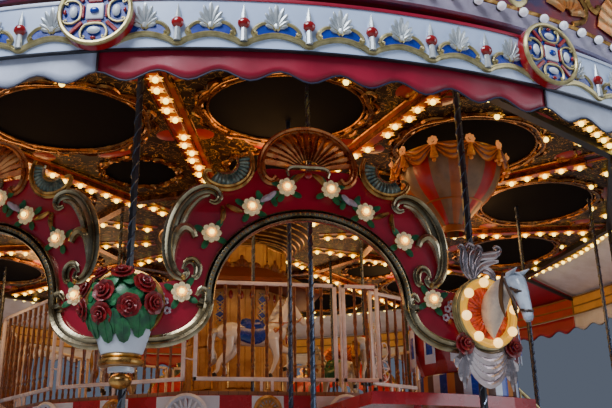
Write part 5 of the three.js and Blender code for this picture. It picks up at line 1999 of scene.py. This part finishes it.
def lozenge(half, low, high, distance, thick=0.006):
    middle = (low + high) / 2
    return slab([(0, low), (half, middle), (0, high), (-half, middle)], distance, distance + thick)


def cornice_line():
    """The cornice's hollow line from the housing's boards up to the ceiling."""
    return smooth_path([(radius, 0, height) for radius, height in ((0.7, 4.9), (0.76, 4.91), (0.83, 4.95),
        (0.91, 5.01), (1.0, 5.08), (1.1, 5.148))], 3)


def canopy_slopes():
    """The canopy's eight slopes from its eave up to the housing's boards."""
    line = [(0.7, 4.25), (1.19, 4.235), (1.22, 4.25), (1.215, 4.3), (0.8, 4.53), (0.7, 4.54)]
    part = turned(line, HOUSING_SIDES)
    bmesh.ops.rotate(part, verts=part.verts, matrix=Matrix.Rotation(pi / HOUSING_SIDES, 3, "Z"))
    return part


# Painted shade darkens the hollows of the cornice and its rings.
def bronze():
    return surface("dark gilt rings", (0.1, 0.036, 0.008), roughness=0.42, metallic=0.3,
        second=(0.04, 0.014, 0.004), patch=3.0, bump=0.06, hollow_shade=(0.006, 0.002, 0.001), ridge=(0.46, 0.52))


class CAROUSEL_OT_lower_housing(bpy.types.Operator):
    """Framed panels, corners and plinth of the drum under the deck"""
    bl_idname = "carousel.lower_housing"
    bl_label = "Lower housing"

    def execute(self, context):
        low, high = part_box("lower_housing")
        face = high.x
        half = face * tan(pi / HOUSING_SIDES)
        foot, head = low.z, high.z
        frames, panels, corners = bmesh.new(), bmesh.new(), bmesh.new()
        join(frames, housing_frame(half - 0.14, foot + 0.3, head - 0.2, face + 0.008, 0.03))
        join(frames, lozenge(0.16, foot + 0.6, head - 0.5, face + 0.006, 0.012))
        join(panels, rounded(block((0.14 - half, -face - 0.004, foot + 0.3),
            (half - 0.14, -face + 0.002, head - 0.2)), 0.002, 1))
        strip = rounded(block((half - 0.05, -face - 0.012, foot + 0.01),
            (half - 0.002, -face + 0.002, head - 0.01)), 0.006)
        join(corners, mirrored(strip))
        join(corners, rounded(block((-half, -face - 0.016, foot + 0.005), (half, -face + 0.002, foot + 0.16)),
            0.008))
        for name, part, paint in (
                ("drum_frames", frames, old_gold()),
                ("drum_panels", panels, blue_enamel()),
                ("drum_corners", corners, red_enamel())):
            make_piece(name, repeated(part, housing_places()), [paint])
        return {"FINISHED"}


class CAROUSEL_OT_housing(bpy.types.Operator):
    """Boards, frames and ribbons of the centre housing, its canopy and its cornice"""
    bl_idname = "carousel.housing"
    bl_label = "Upper housing"

    def execute(self, context):
        boards, frames, blue, red, lattice = (bmesh.new() for _ in range(5))
        face = HOUSING_APOTHEM
        for i in range(5):
            across = (i - 2) * 0.1
            join(boards, rounded(block((across - 0.046, -face - 0.008, BOARDS_FOOT),
                (across + 0.046, -face + 0.002, BOARDS_HEAD)), 0.004, 1))
        join(frames, housing_frame(0.17, 2.95, 3.5, face + 0.01))
        join(frames, housing_frame(0.17, 4.6, 4.86, face + 0.01))
        corner = face / cos(pi / HOUSING_SIDES)
        on_corner = turn(pi / HOUSING_SIDES)
        strip = rounded(block((-0.09, -corner - 0.004, 3.55), (0.09, -corner + 0.03, 4.24)), 0.004, 1)
        join(boards, strip, on_corner)
        for foot in (3.8, 4.0):
            join(blue, lozenge(0.07, foot, foot + 0.2, corner + 0.004), on_corner)
        ribbon = [(0.05, 3.72), (-0.06, 3.8), (0.07, 3.9), (-0.07, 4.0), (0.07, 4.1), (-0.05, 4.2)]
        for side, distance in ((1, corner + 0.012), (-1, corner + 0.015)):
            line = upright([(side * x, z) for x, z in ribbon], distance)
            join(lattice, sweep(smooth_path(line, 2), 0.009, COARSE), on_corner)
        join(red, ball((0, -corner - 0.008, 3.66), (0.045, 0.014, 0.07), 10, 8), on_corner)
        for across in (-0.14, 0.0, 0.14):
            join(red, ball((across, -face - 0.01, 4.17), (0.03, 0.012, 0.06), 8, 6))
        for name, part, paint in (
                ("housing_boards", boards, amber_boards()),
                ("housing_frames", frames, old_gold()),
                ("housing_lozenges", blue, blue_enamel()),
                ("housing_ribbons", lattice, pale_gold()),
                ("housing_drops", red, red_enamel())):
            make_piece(name, repeated(part, housing_places()), [paint])
        line = cornice_line()
        make_piece("cornice_hollow", turned([(point.x, point.z) for point in line], 96), [bronze()],
            ["trumpet_cornice"])
        rings = bmesh.new()
        for point in line[1::2]:
            join(rings, turned([(point.x + 0.013 * cos(turn_by), point.z + 0.013 * sin(turn_by))
                for turn_by in (i * tau / 5 for i in range(6))], 60))
        make_piece("cornice_rings", rings, [old_gold()])
        make_piece("cornice_soffit",
            turned([(SOFFIT_INNER, CEILING - 0.0005), (SOFFIT_OUTER, CEILING - 0.0005)], 96), [filigree()])
        crest = joined(
            shell((0, 4.53), 0.02, 0.1, 0.1, pi - 0.1, 5, 0.012, face + 0.02, 1.3),
            ball((0, -face - 0.02, 4.68), (0.025, 0.012, 0.04), 8, 6))
        for across in (-0.2, 0.2):
            join(crest, shell((across, 4.52), 0.015, 0.06, 0.1, pi - 0.1, 3, 0.012, face + 0.02, 1.5))
        make_piece("canopy_crests", repeated(crest, housing_places()),
            [surface("carved red-brown crests", (0.14, 0.025, 0.008), roughness=0.4)])
        make_piece("canopy_slopes", canopy_slopes(),
            [surface("red-brown canopy boards", (0.2, 0.03, 0.012), roughness=0.45)], ["housing_canopy"])
        return {"FINISHED"}


# Horses and their poles

def beside(point):
    return Vector((0, 1, 0))


def profile_line(points, side=0.0, steps=3):
    return smooth_path([Vector((x, side, z)) for x, z in points], steps)


def limb(points, radii, side=0.0, flat=1.0, sides=10):
    """A rounded limb along (forward, height) points, its radii spread along it."""
    path = profile_line(points, side)
    widths = []
    for i in range(len(path)):
        spot = i / (len(path) - 1) * (len(radii) - 1)
        k = min(int(spot), len(radii) - 2)
        widths.append(radii[k] + (radii[k + 1] - radii[k]) * (spot - k))
    return sweep(path, widths, round_section(sides, flat), beside)


LEG_SIDE = 0.075
LEGS = [
    ([(0.29, -0.18), (0.40, -0.30), (0.56, -0.36), (0.52, -0.50), (0.45, -0.57)], 1),
    ([(0.26, -0.20), (0.31, -0.42), (0.27, -0.58), (0.22, -0.68)], -1),
    ([(-0.32, -0.18), (-0.26, -0.36), (-0.38, -0.50), (-0.36, -0.62), (-0.40, -0.70)], 1),
    ([(-0.34, -0.18), (-0.34, -0.36), (-0.46, -0.52), (-0.48, -0.62), (-0.53, -0.68)], -1)]


def horse_coat():
    part = joined(
        limb([(-0.47, -0.17), (-0.42, -0.13), (-0.30, -0.11), (-0.10, -0.15), (0.10, -0.16), (0.25, -0.13),
            (0.36, -0.08), (0.43, -0.03)], [0.04, 0.12, 0.15, 0.14, 0.138, 0.148, 0.13, 0.06], flat=0.86,
            sides=14),
        limb([(0.28, -0.07), (0.38, 0.06), (0.44, 0.18), (0.47, 0.29)], [0.14, 0.115, 0.086, 0.07], flat=0.62,
            sides=12),
        limb([(0.44, 0.3), (0.51, 0.29), (0.58, 0.21), (0.66, 0.11), (0.71, 0.04), (0.72, 0.01)],
            [0.04, 0.07, 0.062, 0.042, 0.04, 0.022], flat=0.7, sides=12))
    for points, hand in LEGS:
        join(part, limb(points, [0.085, 0.055, 0.033, 0.024, 0.024], LEG_SIDE * hand, 0.8, 10))
    for hand in (-1, 1):
        join(part, rod((0.47, hand * 0.03, 0.33), (0.49, hand * 0.035, 0.42), 0.022, 8, 0.003))
    return part


def horse_hooves():
    part = bmesh.new()
    for points, hand in LEGS:
        x, z = points[-1]
        join(part, rod((x, LEG_SIDE * hand, z + 0.015), (x + 0.015, LEG_SIDE * hand, z - 0.035), 0.026, 10,
            0.034))
    for hand in (-1, 1):
        join(part, ball((0.565, hand * 0.043, 0.235), (0.014, 0.008, 0.012), 8, 6))
    return part


def horse_hair():
    """Mane in curling locks down the crest, forelock and a flowing tail."""
    part = bmesh.new()
    for i in range(9):
        x, z = 0.45 - 0.028 * i, 0.35 - 0.052 * i
        lock = [(x, z), (x - 0.06, z), (x - 0.09, z - 0.06), (x - 0.05, z - 0.12)]
        join(part, limb(lock, [0.03, 0.034, 0.024, 0.006], 0.035 * (-1) ** i, 0.7, 5))
    join(part, limb([(0.46, 0.35), (0.53, 0.35), (0.57, 0.29)], [0.016, 0.022, 0.005], 0, 0.8, 6))
    for side in (-0.02, 0.0, 0.02):
        tail = [(-0.44, -0.1), (-0.54, -0.12 + side), (-0.57, -0.3), (-0.53 + side, -0.47), (-0.58, -0.58)]
        join(part, limb(tail, [0.03, 0.045, 0.05, 0.035, 0.006], side, 1.0, 8))
    return part


def horse_saddle():
    part = limb([(-0.17, -0.03), (-0.1, -0.015), (0.0, -0.025), (0.1, -0.012), (0.15, 0.015)],
        [0.08, 0.11, 0.1, 0.1, 0.05], flat=0.9, sides=12)
    for hand in (-1, 1):
        cloth = limb([(-0.2, -0.13), (0.0, -0.17), (0.16, -0.13)], [0.09, 0.115, 0.09], 0.088 * hand, 0.45,
            10)
        join(part, cloth)
    return part


def horse_tack():
    part = bmesh.new()
    for centre, size, tilt in (((0.0, 0.0, -0.15), 0.146, 0.0), ((0.33, 0.0, -0.07), 0.148, 0.75)):
        band = turned([(size, -0.016), (size + 0.006, 0.0), (size, 0.016)], 24)
        join(part, band, Matrix.Translation(centre) @ Matrix.Rotation(tilt, 4, "Y") @ Matrix.Rotation(pi / 2,
            4, "Y") @ Matrix.Diagonal((1, 0.88, 1, 1)))
    for centre, size in (((0.665, 0, 0.1), 0.044), ((0.52, 0, 0.27), 0.075)):
        band = turned([(size, -0.008), (size + 0.004, 0.0), (size, 0.008)], 16)
        join(part, band, Matrix.Translation(centre) @ Matrix.Rotation(2.3, 4, "Y")
            @ Matrix.Diagonal((1, 0.74, 1, 1)))
    for hand in (-1, 1):
        rein = [Vector((0.66, hand * 0.04, 0.07)), Vector((0.45, hand * 0.1, 0.02)),
            Vector((0.2, hand * 0.06, 0.03))]
        join(part, sweep(rein, 0.007, COARSE, beside))
        join(part, flower(0.04, petals=6), shift(0.3, hand * 0.128, -0.08) @ turn(pi / 2 * (1 - hand)))
    return part


def twisted_pole(foot, head, radius):
    """A pole with two raised strands that wind up it."""
    return joined(rod((0, 0, foot), (0, 0, head), radius * 0.84, 10), strands(foot, head, radius, 0.22))


HORSE_START = radians(0.9)
OUTER_HORSES, INNER_HORSES, DECK_HORSES = 4.85, 3.95, 1.85
POLE_FOOT, POLE_HEAD, POLE_RADIUS = 0.197, 5.378, 0.0249
CRANK_BAR_HALF = 0.0198
CRANK_BAR_FOOT, CRANK_BAR_HEAD = 5.3502, 5.3798


def horse_sets():
    """Every moving group of horses: its name, body and the places and sizes of its horses."""
    for i in range(HORSES):
        spin = turn(HORSE_START + tau * i / HORSES)
        outer = spin @ shift(0, -OUTER_HORSES, PLATFORM_TOP + 1.05)
        inner = spin @ shift(0, -INNER_HORSES, PLATFORM_TOP + 0.98) @ Matrix.Scale(0.9, 4)
        yield f"horse_pair_{i + 1}", i, [outer, inner]
        above = turn(tau * i / HORSES) @ shift(0, -DECK_HORSES, DECK_TOP + 0.9) @ Matrix.Scale(0.85, 4)
        yield f"deck_horse_{i + 1}", i, [above]


class CAROUSEL_OT_horses(bpy.types.Operator):
    """Galloping horses and their twisted poles"""
    bl_idname = "carousel.horses"
    bl_label = "Horses"

    def execute(self, context):
        coats = [surface("white horse gloss", (0.8, 0.78, 0.74), roughness=0.22, coat=0.4, patch=3.0,
            wear=0.05), surface("dapple grey gloss", (0.6, 0.61, 0.64), roughness=0.22, coat=0.4,
            second=(0.42, 0.44, 0.48), patch=9.0)]
        hair = [surface("silver mane", (0.5, 0.5, 0.52), roughness=0.3, metallic=0.3), old_gold()]
        cloths = [blue_enamel(), red_enamel(), surface("green saddle paint", (0.02, 0.2, 0.09),
            roughness=0.25, coat=0.3)]
        leather = surface("red and gold tack", (0.4, 0.03, 0.02), roughness=0.3, second=(0.6, 0.36, 0.1),
            patch=14.0)
        for name, i, places in horse_sets():
            body = f"{name}_body"
            lower = len(places) == 2
            for kind, shape, paint in (
                    ("coat", horse_coat, coats[i % 2]),
                    ("hooves", horse_hooves, dark_steel()),
                    ("hair", horse_hair, hair[i % 2]),
                    ("saddle", horse_saddle, cloths[i % 3]),
                    ("tack", horse_tack, leather)):
                make_piece(f"{name}_{kind}", repeated(shape(), places), [paint],
                    [name] if kind == "coat" else (), body)
            poles = bmesh.new()
            for place in places:
                spot = shift(place.translation.x, place.translation.y, 0)
                join(poles, twisted_pole(POLE_FOOT if lower else DECK_TOP - 0.17, POLE_HEAD, POLE_RADIUS),
                    spot)
            if lower:
                join(poles, block((-CRANK_BAR_HALF, -OUTER_HORSES, CRANK_BAR_FOOT),
                    (CRANK_BAR_HALF, -INNER_HORSES, CRANK_BAR_HEAD)), turn(HORSE_START + tau * i / HORSES))
            make_piece(f"{name}_poles", poles, [steel_blue()], body=body)
        return {"FINISHED"}


# Materials of the frame's own nodes that stay in view

def wood_floor():
    """Varnished boards: the joints come from a band pattern across one direction."""
    material = surface("varnished floor boards", paints().floor, roughness=0.4, coat=0.2,
        second=(0.2, 0.09, 0.04), patch=2.5, bump=0.1)
    tree, link, shader = nodes_of(material)
    place = node(tree, "ShaderNodeTexCoord").outputs["Object"]
    boards = node(tree, "ShaderNodeTexWave", Scale=3.2, Distortion=0.1)
    boards.wave_profile = "SAW"
    link(place, boards.inputs["Vector"])
    joint = node(tree, "ShaderNodeValToRGB")
    joint.color_ramp.elements[0].position = 0.0
    joint.color_ramp.elements[0].color = (0.1, 0.1, 0.1, 1)
    joint.color_ramp.elements[1].position = 0.06
    joint.color_ramp.elements[1].color = (1, 1, 1, 1)
    link(boards.outputs["Fac"], joint.inputs["Fac"])
    dark = node(tree, "ShaderNodeMix", data_type="RGBA", blend_type="MULTIPLY")
    dark.inputs["Factor"].default_value = 1.0
    source = shader.inputs["Base Color"].links[0].from_socket
    link(source, dark.inputs["A"])
    link(joint.outputs["Color"], dark.inputs["B"])
    link(dark.outputs["Result"], shader.inputs["Base Color"])
    return material


class CAROUSEL_OT_finishes(bpy.types.Operator):
    """Finishes of the solids that no piece stands in for"""
    bl_idname = "carousel.finishes"
    bl_label = "Plain finishes"

    def execute(self, context):
        red = deck_red()
        finishes = {
            "ground_base": dark_steel(), "centre_mast": dark_steel(), "top_frame": dark_steel(),
            "lower_platform": wood_floor(), "upper_deck": wood_floor(), "stair": wood_floor(),
            "platform_skirt": red, "balcony": red, "balloon_basket": red,
            "ceiling": filigree(),
            "lower_housing": amber_boards(), "upper_housing": amber_boards(),
            "deck_columns": old_gold(), "light_arms": shaded_ceiling_gilt(), "finial": old_gold(),
            "stair_handrail_outer": pale_gold(), "stair_handrail_inner": pale_gold(),
        }
        for name, finish in finishes.items():
            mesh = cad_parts[name].data
            mesh.materials.clear()
            mesh.materials.append(finish)
        return {"FINISHED"}


# Stage: floor, soft light and the camera of the photograph's view

CAMERA_PLACE = Vector((-1.232, -11.102, 1.6))
CAMERA_HEADING = radians(11.55)
CAMERA_PITCH = radians(20.13)
CAMERA_ROLL = radians(-1.06)


def make_camera():
    data = bpy.data.cameras.new("view")
    data.lens = bpy.context.scene.carousel_stage.lens
    data.sensor_width = 36.0
    data.clip_end = 200
    camera = add_object("view", data)
    rotation = (turn(-CAMERA_HEADING) @ Matrix.Rotation(pi / 2 + CAMERA_PITCH, 4, "X") @ turn(CAMERA_ROLL))
    camera.matrix_world = Matrix.Translation(CAMERA_PLACE) @ rotation
    bpy.context.scene.camera = camera


def add_light(name, kind, place, power, colour):
    data = bpy.data.lights.new(name, kind)
    data.energy = power
    data.color = colour
    light = add_object(name, data)
    light.location = place
    return light


def soft_light(name, place, target, size, power, colour=(1, 1, 1)):
    light = add_light(name, "AREA", place, power, colour)
    light.data.shape = "SQUARE"
    light.data.size = size
    light.rotation_euler = (Vector(target) - Vector(place)).to_track_quat("-Z", "Y").to_euler()


def lamp_glow(place, power):
    """The warm light that the lamp rows of the ceiling throw about them."""
    light = add_light("lamp glow", "POINT", place, power, (1.0, 0.5, 0.16))
    light.data.shadow_soft_size = 0.5


def make_floor():
    floor = bmesh.new()
    bmesh.ops.create_grid(floor, x_segments=1, y_segments=1, size=45)
    mesh = bpy.data.meshes.new("floor")
    floor.to_mesh(mesh)
    floor.free()
    mesh.materials.append(surface("pale floor", (0.5, 0.5, 0.49), roughness=0.6, patch=0.3, grain=8.0,
        wear=0.02))
    ground = add_object("floor", mesh)


class CAROUSEL_OT_stage(bpy.types.Operator):
    """Pale floor, soft studio light and the camera at the photograph's viewing angle"""
    bl_idname = "carousel.stage"
    bl_label = "Stage"

    def execute(self, context):
        light = context.scene.carousel_stage
        make_camera()
        make_floor()
        world = bpy.data.worlds.new("soft sky")
        world.use_nodes = True
        background = world.node_tree.nodes["Background"]
        background.inputs["Color"].default_value = (0.42, 0.5, 0.66, 1)
        background.inputs["Strength"].default_value = light.sky
        context.scene.world = world
        soft_light("key", (-8, -14, 17), (0, 0, 4.5), 8, light.key_power, (0.87, 0.93, 1.0))
        soft_light("fill", (14, -12, 7), (0, 0, 4), 9, light.fill_power, (0.85, 0.92, 1.0))
        soft_light("rear", (4, 18, 12), (0, 0, 4), 8, light.rear_power)
        for i in range(BAYS // 2):
            lamp_glow(turn(BAY * 2 * i) @ Vector((0, -3.3, 4.85)), light.lamp_power)
            lamp_glow(turn(BAY * (2 * i + 1)) @ Vector((0, -4.3, 3.9)), light.lamp_power / 2)
        return {"FINISHED"}


OPERATORS = (CAROUSEL_OT_stage, CAROUSEL_OT_arches, CAROUSEL_OT_fascia, CAROUSEL_OT_medallions,
    CAROUSEL_OT_ring_lining, CAROUSEL_OT_post_strands, CAROUSEL_OT_skirt, CAROUSEL_OT_valance,
    CAROUSEL_OT_awning, CAROUSEL_OT_roof, CAROUSEL_OT_vases, CAROUSEL_OT_shields, CAROUSEL_OT_crown,
    CAROUSEL_OT_balloon, CAROUSEL_OT_ceiling, CAROUSEL_OT_fence, CAROUSEL_OT_deck_fascia,
    CAROUSEL_OT_pedestal, CAROUSEL_OT_housing, CAROUSEL_OT_lower_housing, CAROUSEL_OT_horses,
    CAROUSEL_OT_finishes)


class CAROUSEL_PT_pieces(bpy.types.Panel):
    """Settings and pieces of the carousel"""
    bl_idname = "CAROUSEL_PT_pieces"
    bl_label = "Carousel"
    bl_space_type = "VIEW_3D"
    bl_region_type = "UI"
    bl_category = "Carousel"

    def draw(self, context):
        scene = context.scene
        for settings in (scene.carousel_sizes, scene.carousel_paints, scene.carousel_stage):
            box = self.layout.box()
            for name in type(settings).__annotations__:
                box.prop(settings, name)
        for operator in OPERATORS:
            self.layout.operator(operator.bl_idname)


CLASSES = (CarouselSizes, CarouselPaints, CarouselStage, *OPERATORS, CAROUSEL_PT_pieces)


def register():
    for kind in CLASSES:
        bpy.utils.register_class(kind)
    bpy.types.Scene.carousel_sizes = PointerProperty(type=CarouselSizes)
    bpy.types.Scene.carousel_paints = PointerProperty(type=CarouselPaints)
    bpy.types.Scene.carousel_stage = PointerProperty(type=CarouselStage)


def unregister():
    del bpy.types.Scene.carousel_stage
    del bpy.types.Scene.carousel_paints
    del bpy.types.Scene.carousel_sizes
    for kind in reversed(CLASSES):
        bpy.utils.unregister_class(kind)


def main():
    register()
    bpy.ops.carousel.stage()
    bpy.ops.carousel.arches()
    bpy.ops.carousel.fascia()
    bpy.ops.carousel.medallions()
    bpy.ops.carousel.ring_lining()
    bpy.ops.carousel.post_strands()
    bpy.ops.carousel.skirt()
    bpy.ops.carousel.valance()
    bpy.ops.carousel.awning()
    bpy.ops.carousel.roof()
    bpy.ops.carousel.vases()
    bpy.ops.carousel.shields()
    bpy.ops.carousel.crown()
    bpy.ops.carousel.balloon()
    bpy.ops.carousel.ceiling()
    bpy.ops.carousel.fence()
    bpy.ops.carousel.deck_fascia()
    bpy.ops.carousel.pedestal()
    bpy.ops.carousel.housing()
    bpy.ops.carousel.lower_housing()
    bpy.ops.carousel.horses()
    bpy.ops.carousel.finishes()


if __name__ == "__main__":
    main()
